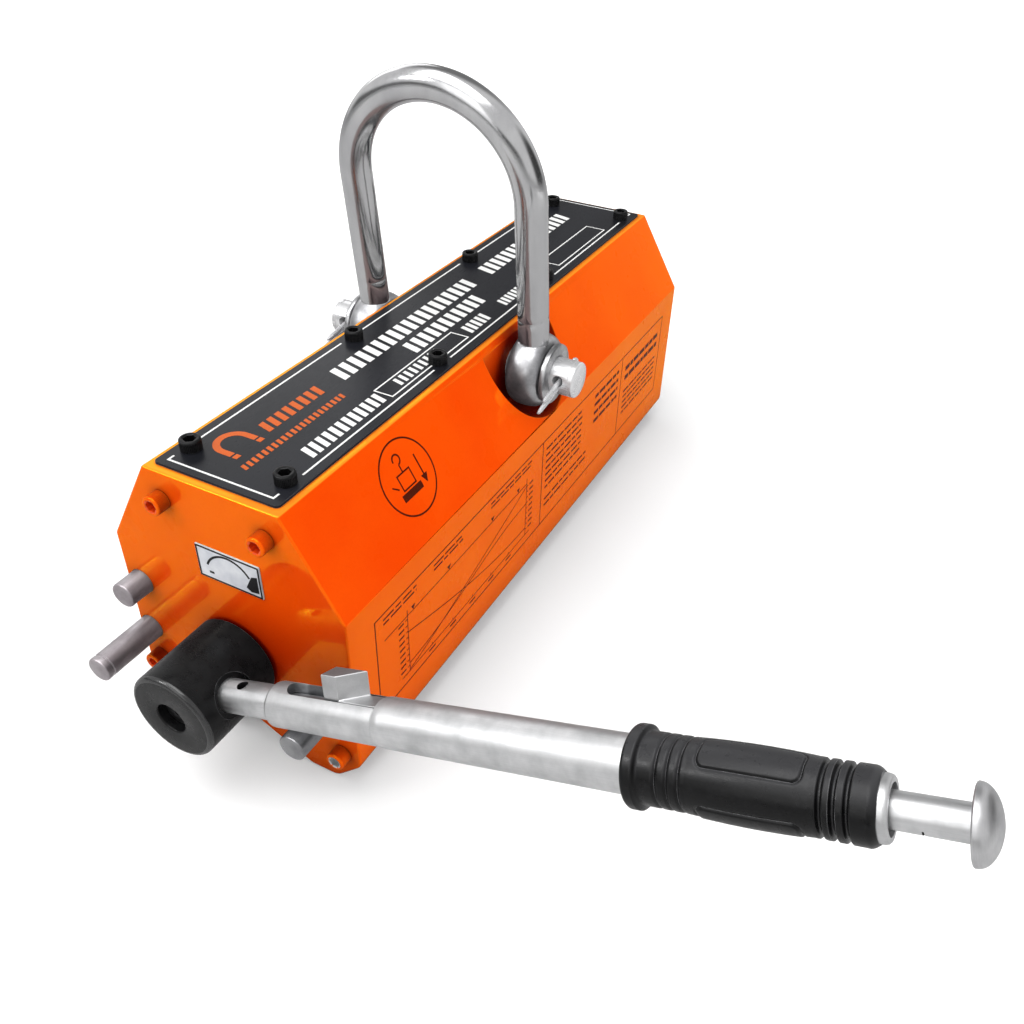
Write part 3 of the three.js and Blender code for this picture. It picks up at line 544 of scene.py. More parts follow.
LATCH_STEEL = brushed_metal("latch_steel", srgb(206, 206, 207), srgb(176, 177, 178), 0.4, (1, 12, 1), 0.5, 0.015)
FORGED = brushed_metal("forged_satin", srgb(196, 196, 198), srgb(150, 150, 153), 0.33, (1, 1, 1), 1.2, 0.03, 8)
STOP_STEEL = brushed_metal("stop_pin_steel", srgb(198, 192, 195), srgb(160, 152, 156), 0.42, (16, 1, 1), 0.5, 0.015)
TURNED = brushed_metal("turned_steel", srgb(218, 218, 219), srgb(186, 186, 188), 0.36, (1, 14, 14), 0.35, 0.012)
PIN_STEEL = brushed_metal("pin_steel", srgb(236, 236, 237), srgb(208, 208, 210), 0.2, (20, 1, 1), 0.4, 0.01, metallic=0.6)
WASHER_STEEL = brushed_metal("washer_steel", srgb(202, 202, 203), srgb(150, 150, 152), 0.3, (1, 1, 1), 0.9, 0.05, 6)
GROUND_STEEL = brushed_metal("ground_steel", srgb(182, 182, 184), srgb(138, 138, 141), 0.26, (1, 30, 1), 0.4, 0.015)
MACHINED = brushed_metal("machined_steel", srgb(170, 171, 173), srgb(120, 121, 124), 0.36, (1, 10, 10), 0.5, 0.02)
BRONZE = brushed_metal("bronze", srgb(196, 148, 84), srgb(150, 104, 52), 0.33, (20, 1, 1), 0.5, 0.02)
ALUMINIUM = brushed_metal("aluminium", srgb(208, 210, 213), srgb(178, 180, 184), 0.4, (20, 1, 1), 0.5, 0.02)
NICKEL = brushed_metal("nickel", srgb(190, 192, 196), srgb(160, 162, 168), 0.2, (1, 1, 1), 1.5, 0.01)


# ---- Body: pole blocks and end covers ---------------------------------------------------------------

TOP_HALF = 42
SHOULDER_Z = 123
FOOT_OUTER = 58
FOOT_INNER = 40
FOOT_CHAMFER_Z = 17
GROOVE_TOP = 20
POLE_INNER = 10
BORE_RADIUS = 41.5
POCKET_FLOOR = 44.5
POCKET_RADIUS = 41.5
POCKET_Z = 165
HOLE_GAP = 0.3
EDGE_ROUND = 1.3


def side_corners(side):
    """Outer corners of the section on one side, from the top edge down to the foot's inner corner."""
    return [
        (side * TOP_HALF, BODY_TOP, EDGE_ROUND), (side * BODY_HALF_WIDTH, SHOULDER_Z, 1.8),
        (side * BODY_HALF_WIDTH, FOOT_CHAMFER_Z, 9), (side * FOOT_OUTER, 0, 9), (side * FOOT_INNER, 0, 9),
    ]


def pole_block(side):
    groove_slope = GROOVE_TOP / FOOT_INNER
    inner = side * POLE_INNER
    corners = [(inner, BODY_TOP, 0)] + side_corners(side) + [(inner, GROOVE_TOP - groove_slope * POLE_INNER, 0)]
    blank = prism(rounded_outline(corners), -POLE_END, POLE_END, along_x)
    bore = rod(BORE_RADIUS, -POLE_END - 5, POLE_END + 5, 128, Matrix.Translation((0, 0, ROTOR_Z)))
    across = Matrix.Rotation(math.pi / 2, 4, "Z")
    pin_hole = rod(PIN_RADIUS + HOLE_GAP, -100, 100, 64, Matrix.Translation((0, 0, PIN_Z)) @ across)
    pocket_ends = sorted((side * POCKET_FLOOR, side * 100))
    pocket = rod(POCKET_RADIUS, *pocket_ends, 128, Matrix.Translation((0, 0, POCKET_Z)) @ across)
    mesh = combine(blank, [bore, pocket, pin_hole])

    def pocket_rim(edge):
        middle = edge_middle(edge)
        in_pocket = abs(middle.x) < POCKET_RADIUS + 1 and middle.z > SHOULDER_Z - 2
        outside = abs(middle.y) > TOP_HALF + 0.5 and abs(middle.y) < BODY_HALF_WIDTH + 1
        on_curve = abs(math.hypot(middle.x, middle.z - POCKET_Z) - POCKET_RADIUS) < 0.6
        return sharpness(edge) > 25 and in_pocket and outside and on_curve and abs(middle.y) > POCKET_FLOOR + 0.5

    bevel_edges(mesh, pocket_rim, 0.7)
    for face in mesh.faces:
        middle = face.calc_center_median()
        bare = middle.z < GROOVE_TOP and face.normal.z < -0.6 and abs(middle.y) < FOOT_OUTER - 2
        face.material_index = 1 if bare else 0
    return mesh


for word, side in SIDES:
    node = f"{word}_pole_block"
    add_piece(f"{word}_pole", pole_block(side), "body", (ORANGE, GROUND_STEEL), BODY, (node,),
              weighted=True)


def end_cover(side):
    """Cover plate with a rounded outer rim and its bush and stop-pin holes."""
    left = side_corners(1)
    right = [(-y, z, radius) for y, z, radius in reversed(left)]
    outline = rounded_outline(left + [(0, GROOVE_TOP, 2)] + right)
    low, high = sorted((side * POLE_END, side * COVER_FACE))
    mesh = prism(outline, low, high, along_x)
    face_x = side * COVER_FACE
    bevel_edges(mesh, lambda edge: all(abs(v.co.x - face_x) < 0.01 for v in edge.verts), EDGE_ROUND, 4)
    holes = [rod(16 + HOLE_GAP, low - 5, high + 5, 96, Matrix.Translation((0, 0, ROTOR_Z)))]
    if side < 0:
        for node in ("on_stop_pin", "off_stop_pin", "short_stop_pin"):
            middle = cad_middle(node)
            holes.append(rod(7.5 + HOLE_GAP, low - 5, high + 5, 48, Matrix.Translation((0, middle.y, middle.z))))
    return combine(mesh, holes)


for word, side in ENDS:
    add_piece(f"{word}_end_cover", end_cover(side), "body", (ORANGE,), BODY, (f"{word}_cover",),
              weighted=True)


def rear_cap():
    low, high = cad_box_mm("rear_cap")
    radius = (high.y - low.y) / 2
    rings = [(low.x, 3), (low.x, radius)]
    rings += [(high.x - 1.6 + along, radius - 1.6 + up) for along, up in arc((0, 0), 1.6, 90, 0)]
    rings += [(high.x, 9), (high.x - 0.8, 8.2), (high.x - 0.8, 0.5)]
    return turned(rings)


add_piece("rear_cap_disc", rear_cap(), "body", (ORANGE,), SHAFT, ("rear_cap",))


# ---- Socket head screws ----------------------------------------------------------------------------------

HEAD_RADIUS = 5.6
SOCKET_FLAT = 3.0
SOCKET_DEPTH = 4.4
KNURLS = 40


def hexagon(flat_distance):
    """Radius of a hexagon at a given angle."""
    def radius(angle):
        return flat_distance / math.cos((angle % (TURN / 6)) - TURN / 12)
    return radius


def knurl(depth):
    """Radius of the head's side, with straight knurling of the given depth."""
    def radius(angle):
        return HEAD_RADIUS - depth * (0.5 + 0.5 * math.cos(KNURLS * angle))
    return radius


def socket_screw(shank, head, knurl_depth):
    """Cap screw along +X: the head stands on X = 0 and the shank points to -X."""
    rings = [
        (-shank, 3.2), (-shank + 0.8, 4.0), (-0.4, 4.0), (0.0, HEAD_RADIUS - 0.5),
        (0.35, knurl(knurl_depth)), (head - 1.5, knurl(knurl_depth)),
        (head - 1.2, HEAD_RADIUS), (head - 0.6, HEAD_RADIUS - 0.08),
        (head - 0.15, HEAD_RADIUS - 0.45), (head, HEAD_RADIUS - 0.95),
        (head, 3.9), (head - 0.4, hexagon(SOCKET_FLAT)),
        (head - SOCKET_DEPTH, hexagon(SOCKET_FLAT)), (head - SOCKET_DEPTH - 0.9, 0.4),
    ]
    mesh = turned(rings, KNURLS * 6)
    for face in mesh.faces:
        middle = face.calc_center_median()
        inside = math.hypot(middle.y, middle.z) < 3.6 and middle.x > 0
        face.material_index = 1 if inside else 0
    return mesh


for word, side in ENDS:
    for place in ("upper_left", "upper_right", "lower_left", "lower_right"):
        node = f"{word}_screw_{place}"
        low, high = cad_box_mm(node)
        middle = (low + high) / 2
        head = max(high.x, -low.x) - COVER_FACE
        shank = high.x - low.x - head
        bare_socket = word == "front" and place == "lower_right"
        # Painted shade: the sockets of the painted screws take the darker socket enamel; the one bare socket is zinc.
        inner = ZINC if bare_socket else SOCKET_SHADE_PAINT
        add_piece(f"{node}_cap", socket_screw(shank, head, 0.12), "body", (ORANGE, inner),
                  placed(side * COVER_FACE, middle.y, middle.z, (side, 0, 0)), (node,), sharp=40)

for word, side in SIDES:
    for index in range(1, 5):
        node = f"plate_screw_{word}_{index}"
        low, high = cad_box_mm(node)
        middle = (low + high) / 2
        head = high.z - PLATE_HIGH.z
        shank = high.z - low.z - head
        angle = 0.7 * index + side
        add_piece(f"{node}_cap", socket_screw(shank, head, 0.35), "body", (BLACK_OXIDE, BLACK_OXIDE),
                  placed(middle.x, middle.y, PLATE_HIGH.z, (0, 0, 1), (math.cos(angle), math.sin(angle), 0)),
                  (node,), sharp=40)


# ---- Printed marks ---------------------------------------------------------------------------------------------

class Print:
    """Flat printed marks gathered into one thin mesh, drawn in the plane's own (u, v) millimetres."""

    LAYER = 0.06
    STEP = 0.002

    def __init__(self):
        self.mesh = bmesh.new()
        self.count = 0

    def height(self):
        self.count += 1
        return self.LAYER + self.STEP * (self.count % 20)

    def area(self, outline):
        part = prism(outline, 0.0, self.height(), flat)
        data = bpy.data.meshes.new("temporary")
        part.to_mesh(data)
        part.free()
        self.mesh.from_mesh(data)
        bpy.data.meshes.remove(data)

    def bar(self, u, v, width, height, slant=0.0):
        """Solid bar with its lower left corner at (u, v)."""
        lean = slant * height
        self.area([(u, v), (u + width, v), (u + width + lean, v + height), (u + lean, v + height)])

    def line(self, points, width):
        """Mitred line through the points; a repeated first point closes it."""
        closed = len(points) > 2 and points[0] == points[-1]
        path = [Vector(p) for p in (points[:-1] if closed else points)]
        left, right = [], []
        for index, point in enumerate(path):
            before = path[index - 1] if index or closed else None
            after = path[(index + 1) % len(path)] if index + 1 < len(path) or closed else None
            first = (point - before).normalized() if before is not None else (after - point).normalized()
            second = (after - point).normalized() if after is not None else first
            bisector = (first + second).normalized()
            across = Vector((-bisector.y, bisector.x))
            spread = width / 2 / max(0.35, bisector.dot(first))
            left.append(point + across * spread)
            right.append(point - across * spread)
        height = self.height()
        verts = [[self.mesh.verts.new((p.x, p.y, z)) for p in row]
                 for row, z in ((left, height), (right, height), (right, 0.0), (left, 0.0))]
        count = len(path)
        for index in range(count if closed else count - 1):
            after = (index + 1) % count
            for row in range(4):
                following = (row + 1) % 4
                self.mesh.faces.new((verts[row][index], verts[row][after],
                                     verts[following][after], verts[following][index]))
        if not closed:
            self.mesh.faces.new([verts[row][0] for row in range(4)])
            self.mesh.faces.new([verts[row][-1] for row in reversed(range(4))])

    def frame(self, low_u, low_v, high_u, high_v, width):
        self.line([(low_u, low_v), (high_u, low_v), (high_u, high_v), (low_u, high_v), (low_u, low_v)], width)

    def circle(self, u, v, radius, width, start=0.0, end=360.0, steps=72):
        points = []
        for step in range(steps + 1):
            angle = math.radians(start + (end - start) * step / steps)
            points.append((u + radius * math.cos(angle), v + radius * math.sin(angle)))
        if end - start >= 360:
            points[-1] = points[0]
        self.line(points, width)

    def hatch(self, u, v, count, width, gap, height, slant=0.25):
        """Row of equal slanted blocks, standing for a word."""
        for index in range(count):
            self.bar(u + index * (width + gap), v, width, height, slant)

    def finish(self, name, material, placement, slot):
        bmesh.ops.recalc_face_normals(self.mesh, faces=self.mesh.faces)
        return add_piece(name, self.mesh, "body", (material,), placement, ())


# ---- Name plate ---------------------------------------------------------------------------------------------------

def name_plate():
    corner = 2.5
    outline = rounded_outline([
        (PLATE_LOW.x, PLATE_LOW.y, corner), (PLATE_HIGH.x, PLATE_LOW.y, corner),
        (PLATE_HIGH.x, PLATE_HIGH.y, corner), (PLATE_LOW.x, PLATE_HIGH.y, corner)])
    mesh = prism(outline, PLATE_LOW.z, PLATE_HIGH.z, flat)
    bevel_edges(mesh, lambda edge: all(abs(v.co.z - PLATE_HIGH.z) < 0.01 for v in edge.verts), 0.35, 2)
    return mesh


add_piece("printed_plate", name_plate(), "body", (PLATE_BLACK,), BODY, ("name_plate",), weighted=True)
ON_PLATE = placed(0, 0, PLATE_HIGH.z)
SCREW_XS = sorted({round(cad_middle(f"plate_screw_left_{i}").x, 1) for i in range(1, 5)})
BORDER_X = 220.5
BORDER_Y = 32.6
SCREW_BREAK = 9.0


def plate_border(marks):
    """White border, broken where the screw heads sit on it."""
    for v in (-BORDER_Y, BORDER_Y):
        start = -BORDER_X
        for x in SCREW_XS:
            marks.line([(start, v), (x - SCREW_BREAK, v)], 1.1)
            start = x + SCREW_BREAK
        marks.line([(start, v), (BORDER_X, v)], 1.1)
    for u in (-BORDER_X, BORDER_X):
        marks.line([(u, -BORDER_Y - 0.5), (u, BORDER_Y + 0.5)], 1.1)


white = Print()
plate_border(white)
white.hatch(-112, 4.5, 19, 5.0, 3.1, 13.5)
white.hatch(60, 4.5, 16, 5.0, 3.1, 13.5)
white.hatch(-64, -12.8, 11, 4.8, 3.1, 12.6)
white.hatch(-184, -28.0, 12, 3.4, 2.2, 10.0)
white.frame(-114, -28.6, -31, -16.4, 0.9)
white.hatch(-101, -26.0, 9, 2.6, 2.6, 7.4)
white.hatch(-25, -28.0, 5, 3.2, 2.1, 9.6)
white.hatch(21, -27.4, 8, 2.8, 1.9, 8.4)
white.frame(98, -28.6, 178, -14.0, 0.9)
white.finish("plate_marks_white", WHITE_INK, ON_PLATE, "label")

orange = Print()
MAGNET_U = -193
MAGNET_V = 14.5
orange.circle(MAGNET_U, MAGNET_V, 9.0, 3.8, 0, 180, 36)
for sign in (-1, 1):
    orange.bar(MAGNET_U + sign * 9.0 - 1.9, MAGNET_V - 6.4, 3.8, 6.4)
    orange.bar(MAGNET_U + sign * 9.0 - 1.9, MAGNET_V - 10.6, 3.8, 3.0)
orange.hatch(-176, 6.0, 8, 3.8, 2.4, 9.4)
orange.hatch(-209, -6.6, 22, 2.2, 1.6, 4.6)
orange.finish("plate_marks_orange", ORANGE_INK, ON_PLATE, "label")


# ---- Side chart and chamfer symbol -------------------------------------------------------------------------------------

LABEL_LOW_X = -207.3
LABEL_HIGH_X = 205.8
LABEL_LOW_Z = 39.3
LABEL_HIGH_Z = 106.7
DIVIDERS = (-13.3, 122.1)
HAIR = 0.55


def text_rows(marks, left, right, top, rows, pitch, height, seed):
    """Rows of short dashes standing for printed lines of small text."""
    for row in range(rows):
        u = left
        v = top - row * pitch
        word = 0
        while u < right:
            length = 4 + 7 * abs(math.sin(seed + row * 5.1 + word * 2.3))
            end = min(u + length, right)
            marks.bar(u, v, end - u, height)
            u = end + 1.8
            word += 1


def chart_panel(marks):
    """Left panel: two axes with ticks, a level line and three crossing curves."""
    left, right, bottom, top = -178, -36, 46, 88
    marks.line([(left, bottom), (left, top + 4)], HAIR)
    marks.line([(right, bottom), (right, top + 4)], HAIR)
    marks.line([(left - 8, bottom), (right + 6, bottom)], HAIR)
    marks.line([(left - 22, top), (right, top)], HAIR)
    for step in range(9):
        v = bottom + 4.4 * (step + 1)
        marks.line([(left - 2.2, v), (left, v)], HAIR)
        marks.line([(right, v), (right + 2.2, v)], HAIR)
        marks.bar(left - 9, v - 0.6, 5.2, 1.1)
        marks.bar(right + 4, v - 0.6, 5.2, 1.1)
    for step in range(5):
        u = left + (right - left) * (step + 1) / 6
        marks.line([(u, bottom), (u, bottom + 1.8)], HAIR)
        marks.bar(u - 3.5, bottom - 3.4, 7, 1.2)
    rising, falling, bowed = [], [], []
    for step in range(25):
        share = step / 24
        u = left + (right - left) * share
        rising.append((u, bottom + 1 + (top - bottom - 3) * share ** 1.15))
        falling.append((u, bottom + 30 - 24 * math.sin(share * math.pi / 2)))
        bowed.append((u, bottom + 6 + 20 * (1 - math.cos(share * math.pi)) / 2))
    for curve in (rising, falling, bowed):
        marks.line(curve, HAIR)
    for u in (left + 6, left + 44, left + 96, right - 12):
        marks.area([(u - 2.0, top + 3.4), (u + 2.0, top + 3.4), (u, top + 0.4)])


side_marks = Print()
side_marks.frame(LABEL_LOW_X, LABEL_LOW_Z, LABEL_HIGH_X, LABEL_HIGH_Z, 0.8)
for divider in DIVIDERS:
    side_marks.line([(divider, LABEL_LOW_Z), (divider, LABEL_HIGH_Z)], 0.8)
chart_panel(side_marks)
text_rows(side_marks, -200, -168, 102, 2, 3.0, 1.1, 1.0)
text_rows(side_marks, -150, -118, 102, 2, 3.0, 1.1, 2.0)
text_rows(side_marks, -84, -30, 102, 2, 3.0, 1.1, 3.0)
text_rows(side_marks, -8, 50, 98, 7, 5.2, 1.5, 4.0)
text_rows(side_marks, -8, 62, 57, 2, 5.2, 1.5, 5.0)
text_rows(side_marks, 72, 116, 97, 4, 7.0, 2.6, 6.0)
text_rows(side_marks, 130, 198, 92, 2, 8.0, 3.6, 7.0)
text_rows(side_marks, 130, 198, 73, 5, 4.8, 1.4, 8.0)
side_marks.finish("side_chart_marks", DARK_INK,
                  placed(0, -BODY_HALF_WIDTH, 0, (1, 0, 0), (0, -1, 0)), "label")

CHAMFER_RUN = Vector((0, TOP_HALF - BODY_HALF_WIDTH, SHOULDER_Z - BODY_TOP))
CHAMFER_DOWN = CHAMFER_RUN.normalized()
CHAMFER_NORMAL = Vector((1, 0, 0)).cross(-CHAMFER_DOWN).normalized()
SYMBOL_DISTANCE = 28.4


def chamfer_symbol():
    """Ring with a generic sign inside: a magnet lowered on to a plate by a hook."""
    marks = Print()
    marks.circle(0, 0, 21.3, 1.0)
    marks.area([(-11.2, -10.1), (6.7, -10.1), (6.7, -6), (-11.2, -6)])
    marks.frame(-7.8, -4.7, 3.4, 4, 0.9)
    marks.line([(-2.2, 4.2), (-2.2, 8.5)], 0.9)
    marks.circle(-2.2, 11.6, 2.9, 1.0, -90, 190, 24)
    marks.line([(11.2, 7.8), (11.2, -5.6)], 1.0)
    marks.area([(8.5, -4.5), (13.9, -4.5), (11.2, -9.6)])
    marks.line([(-14.6, 1.1), (-10.6, -2.2)], 0.8)
    return marks


symbol_origin = Vector((-143.8, -TOP_HALF, BODY_TOP)) + CHAMFER_DOWN * SYMBOL_DISTANCE
chamfer_symbol().finish("chamfer_symbol_marks", DARK_INK,
                        placed(*symbol_origin, (1, 0, 0), CHAMFER_NORMAL), "label")


# ---- End label ------------------------------------------------------------------------------------------------------------

def turn_label():
    low, high = cad_box_mm("turn_label")
    half_width = (high.y - low.y) / 2
    half_height = (high.z - low.z) / 2
    corner = 0.6
    outline = rounded_outline([
        (-half_width, -half_height, corner), (half_width, -half_height, corner),
        (half_width, half_height, corner), (-half_width, half_height, corner)])
    mesh = prism(outline, 0, high.x - low.x, flat)
    top = high.x - low.x
    bevel_edges(mesh, lambda edge: all(abs(v.co.z - top) < 0.01 for v in edge.verts), 0.2, 2)
    return mesh


label_middle = cad_middle("turn_label")
label_outer = cad_box_mm("turn_label")[0].x
add_piece("turn_label_sheet", turn_label(), "body", (LABEL_FOIL,),
          placed(-COVER_FACE, label_middle.y, label_middle.z, (0, -1, 0), (-1, 0, 0)), ("turn_label",),
          weighted=True)
label_marks = Print()
label_marks.frame(-19.7, -9.7, 19.7, 9.7, 1.1)
label_marks.circle(0.0, -7.0, 15.2, 1.3, 30, 157, 36)
label_marks.area([(14.6, 2.2), (18.4, 3.4), (18.4, -7.2), (13.2, -8.0), (10.4, -6.0)])
label_marks.bar(-13.4, -6.2, 3.0, 1.4)
label_marks.finish("turn_label_marks", BLACK_INK,
                   placed(label_outer, label_middle.y, label_middle.z, (0, -1, 0), (-1, 0, 0)), "label")


# ---- Stop pins -----------------------------------------------------------------------------------------------------------------

def stop_pin(node, notch):
    low, high = cad_box_mm(node)
    radius = (high.y - low.y) / 2
    rings = [(low.x, 0.5)] + [(low.x + 0.9 - a, radius - 0.9 + r) for a, r in arc((0, 0), 0.9, 0, 90, 4)]
    if notch:
        rings += [(low.x + 3.4, radius), (low.x + 3.8, radius - 0.55), (low.x + 4.6, radius - 0.55),
                  (low.x + 5.0, radius)]
    rings += [(high.x, radius), (high.x, 0.5)]
    mesh = turned(rings, 64)
    if notch:
        mesh = combine(mesh, [block((low.x + 3.0, low.x + 8.2), (5.6, 12), (-12, 12))])
        bevel_edges(mesh, lambda edge: sharpness(edge) > 40 and edge_middle(edge).y > 5, 0.25, 2)
    return mesh


STOP_FINISHES = {"on_stop_pin": STOP_STEEL, "off_stop_pin": STUD_STEEL, "short_stop_pin": STOP_STEEL}

for node, finish in STOP_FINISHES.items():
    middle = cad_middle(node)
    add_piece(f"{node}_turned", stop_pin(node, node == "on_stop_pin"), "body", (finish,),
              placed(0, middle.y, middle.z), (node,))


# ---- Shackle pin, washers and split pins ----------------------------------------------------------------------------------------

SPLIT_DOWN = math.radians(9)
SPLIT_Y = 81
SPLIT_HOLE = 3.6
SPLIT_DIRECTION = Vector((-math.cos(SPLIT_DOWN), 0, -math.sin(SPLIT_DOWN)))
SPLIT_ACROSS = Vector((math.sin(SPLIT_DOWN), 0, -math.cos(SPLIT_DOWN)))


def shackle_pin():
    half = []
    for along, radius in [
            (PIN_END, 0.5), (PIN_END, PIN_RADIUS - 1.0), (PIN_END - 0.25, PIN_RADIUS - 0.45),
            (PIN_END - 0.9, PIN_RADIUS), (PIN_END - 2.9, PIN_RADIUS), (PIN_END - 3.1, PIN_RADIUS - 0.35),
            (PIN_END - 3.5, PIN_RADIUS - 0.35), (PIN_END - 3.7, PIN_RADIUS)]:
        half.append((along, radius))
    rings = [(-along, radius) for along, radius in half] + half[::-1]
    mesh = turned(rings, 96)
    holes = []
    for side in (-1, 1):
        across = Matrix.Translation((side * SPLIT_Y, 0, 0)) @ Matrix.Rotation(math.pi / 2 + SPLIT_DOWN, 4, "X")
        holes.append(rod(SPLIT_HOLE, -20, 20, 48, across @ Matrix.Rotation(math.pi / 2, 4, "Y")))
    mesh = combine(mesh, holes)

    def hole_rim(edge):
        middle = edge_middle(edge)
        near = abs(abs(middle.x) - SPLIT_Y) < SPLIT_HOLE + 0.3
        return near and sharpness(edge) > 35 and math.hypot(middle.y, middle.z) > PIN_RADIUS - 1.2

    bevel_edges(mesh, hole_rim, 0.35, 2)
    return mesh


add_piece("shackle_pin_turned", shackle_pin(), "body", (PIN_STEEL,), PIN, ("shackle_pin",))


def washer(side, inner, outer):
    """Pressed washer with a slightly uneven rim."""
    low, high = cad_box_mm("left_washer" if side > 0 else "right_washer")
    start, end = sorted((low.y, high.y))

    def uneven(radius, amount):
        return lambda angle: radius + amount * noise.noise(Vector((2.2 * math.cos(angle), 2.2 * math.sin(angle), side)))

    return turned_ring([
        (start, inner + 0.5), (start, outer - 1.0), (start + 0.5, uneven(outer - 0.25, 0.35)),
        (start + 1.2, uneven(outer - 0.1, 0.35)), (end - 1.2, uneven(outer - 0.1, 0.35)),
        (end - 0.4, uneven(outer - 0.3, 0.35)), (end, outer - 1.1), (end, inner + 0.5),
        (end - 0.5, inner), (start + 0.5, inner)], 128)


for word, side in SIDES:
    add_piece(f"{word}_washer_ring", washer(side, PIN_RADIUS + HOLE_GAP, 19.5), "body", (WASHER_STEEL,), PIN,
              (f"{word}_washer",))


def swept(points, radius_at, segments=20):
    """Closed tube through 3-D points with a radius for each point."""
    mesh = bmesh.new()
    loops = []
    for index, point in enumerate(points):
        ahead = points[min(index + 1, len(points) - 1)] - points[max(index - 1, 0)]
        tangent = ahead.normalized()
        reference = Vector((0, 1, 0)) if abs(tangent.y) < 0.9 else Vector((1, 0, 0))
        first = tangent.cross(reference).normalized()
        second = tangent.cross(first)
        radius = radius_at(index)
        loop = []
        for step in range(segments):
            angle = TURN * step / segments
            loop.append(mesh.verts.new(point + radius * (math.cos(angle) * first + math.sin(angle) * second)))
        loops.append(loop)
    for first_loop, second_loop in zip(loops, loops[1:]):
        for step in range(segments):
            after = (step + 1) % segments
            mesh.faces.new((first_loop[step], first_loop[after], second_loop[after], second_loop[step]))
    mesh.faces.new(loops[0][::-1])
    mesh.faces.new(loops[-1])
    bmesh.ops.recalc_face_normals(mesh, faces=mesh.faces)
    return mesh


def smooth_path(points, steps):
    """Catmull-Rom curve through the points."""
    path = []
    extended = [points[0] * 2 - points[1]] + points + [points[-1] * 2 - points[-2]]
    for index in range(1, len(extended) - 2):
        p0, p1, p2, p3 = extended[index - 1:index + 3]
        for step in range(steps):
            t = step / steps
            path.append(0.5 * (2 * p1 + (p2 - p0) * t + (2 * p0 - 5 * p1 + 4 * p2 - p3) * t ** 2
                               + (3 * p1 - p0 - 3 * p2 + p3) * t ** 3))
    path.append(points[-1])
    return path


def split_pin(side):
    """Bent wire: an upper leg, an open loop and a longer lower leg."""
    wire = 1.5
    gap = wire + 0.15
    loop = 12.3
    stations = [
        (30, -gap * 0.9), (16, -gap), (0, -gap), (-loop + 2, -gap), (-loop, -2.3), (-loop - 2.2, -3.1),
        (-loop - 4.2, -1.9), (-loop - 4.9, 0), (-loop - 4.2, 1.9), (-loop - 2.2, 3.1), (-loop, 2.3),
        (-loop + 2, gap), (0, gap), (20, gap), (37.5, gap * 1.1),
    ]
    centre = Vector((0, side * SPLIT_Y, PIN_Z))
    points = [centre + SPLIT_DIRECTION * along + SPLIT_ACROSS * off for along, off in stations]
    path = smooth_path(points, 6)

    def radius(index):
        from_end = min(index, len(path) - 1 - index)
        return wire * (0.55, 0.85, 0.97)[from_end] if from_end < 3 else wire

    return swept(path, radius)


for word, side in SIDES:
    add_piece(f"{word}_split_pin_wire", split_pin(side), "body", (PIN_STEEL,), BODY, (f"{word}_split_pin",))


# ---- Shackle --------------------------------------------------------------------------------------------------------------------

LEG_Y = 59.5
BAR_RADIUS = 9.75
ARCH_CENTRE = 108.5
EYE_RADIUS = 24.0
EYE_HALF = 11.5
EYE_BORE = 12.1
SEAM_HEIGHT = 38.0


def shackle_bar():
    """Bent bar from eye to eye, with a faint seam ring on each leg."""
    heights = [6 + 2.5 * step for step in range(12)]
    heights += [SEAM_HEIGHT - 0.9, SEAM_HEIGHT - 0.35, SEAM_HEIGHT + 0.35, SEAM_HEIGHT + 0.9]
    heights += [42 + 6 * step for step in range(12)]
    points = [Vector((0, -LEG_Y, height)) for height in heights]
    arch_steps = 72
    for step in range(arch_steps + 1):
        angle = math.pi * step / arch_steps
        points.append(Vector((0, -LEG_Y * math.cos(angle), ARCH_CENTRE + LEG_Y * math.sin(angle))))
    points += [Vector((0, LEG_Y, height)) for height in reversed(heights)]

    def radius(index):
        point = points[index]
        on_seam = point.z < ARCH_CENTRE and abs(point.z - SEAM_HEIGHT) < 0.5
        return BAR_RADIUS - 0.22 if on_seam else BAR_RADIUS

    mesh = bmesh.new()
    segments = 64
    loops = []
    for index, point in enumerate(points):
        tangent = (points[min(index + 1, len(points) - 1)] - points[max(index - 1, 0)]).normalized()
        outward = Vector((1, 0, 0)).cross(tangent)
        loop = []
        for step in range(segments):
            angle = TURN * step / segments
            offset = math.cos(angle) * Vector((1, 0, 0)) + math.sin(angle) * outward
            loop.append(mesh.verts.new(point + radius(index) * offset))
        loops.append(loop)
    for first, second in zip(loops, loops[1:]):
        for step in range(segments):
            after = (step + 1) % segments
            mesh.faces.new((first[step], first[after], second[after], second[step]))
    mesh.faces.new(loops[0][::-1])
    mesh.faces.new(loops[-1])
    bmesh.ops.recalc_face_normals(mesh, faces=mesh.faces)
    return mesh


def shackle_eye(side):
    """Forged eye: a thick rounded ring, flatter on its two faces."""
    rings = []
    steps = 28
    for step in range(steps + 1):
        angle = math.pi * step / steps
        bulge = math.copysign(abs(math.cos(angle)) ** 0.8, math.cos(angle))
        rings.append((-EYE_HALF * bulge, 15.2 + (EYE_RADIUS - 15.2) * math.sin(angle) ** 0.75))
    profile = [(-EYE_HALF + 0.8, 3.0), (-EYE_HALF + 0.05, EYE_BORE + 1.4)] + rings[0:]
    profile += [(EYE_HALF - 0.05, EYE_BORE + 1.4), (EYE_HALF - 0.8, 3.0)]
    mesh = turned(profile, 128)
    mesh.transform(Matrix.Translation((0, side * LEG_Y, 0)) @ Matrix.Rotation(math.pi / 2, 4, "Z"))
    return mesh


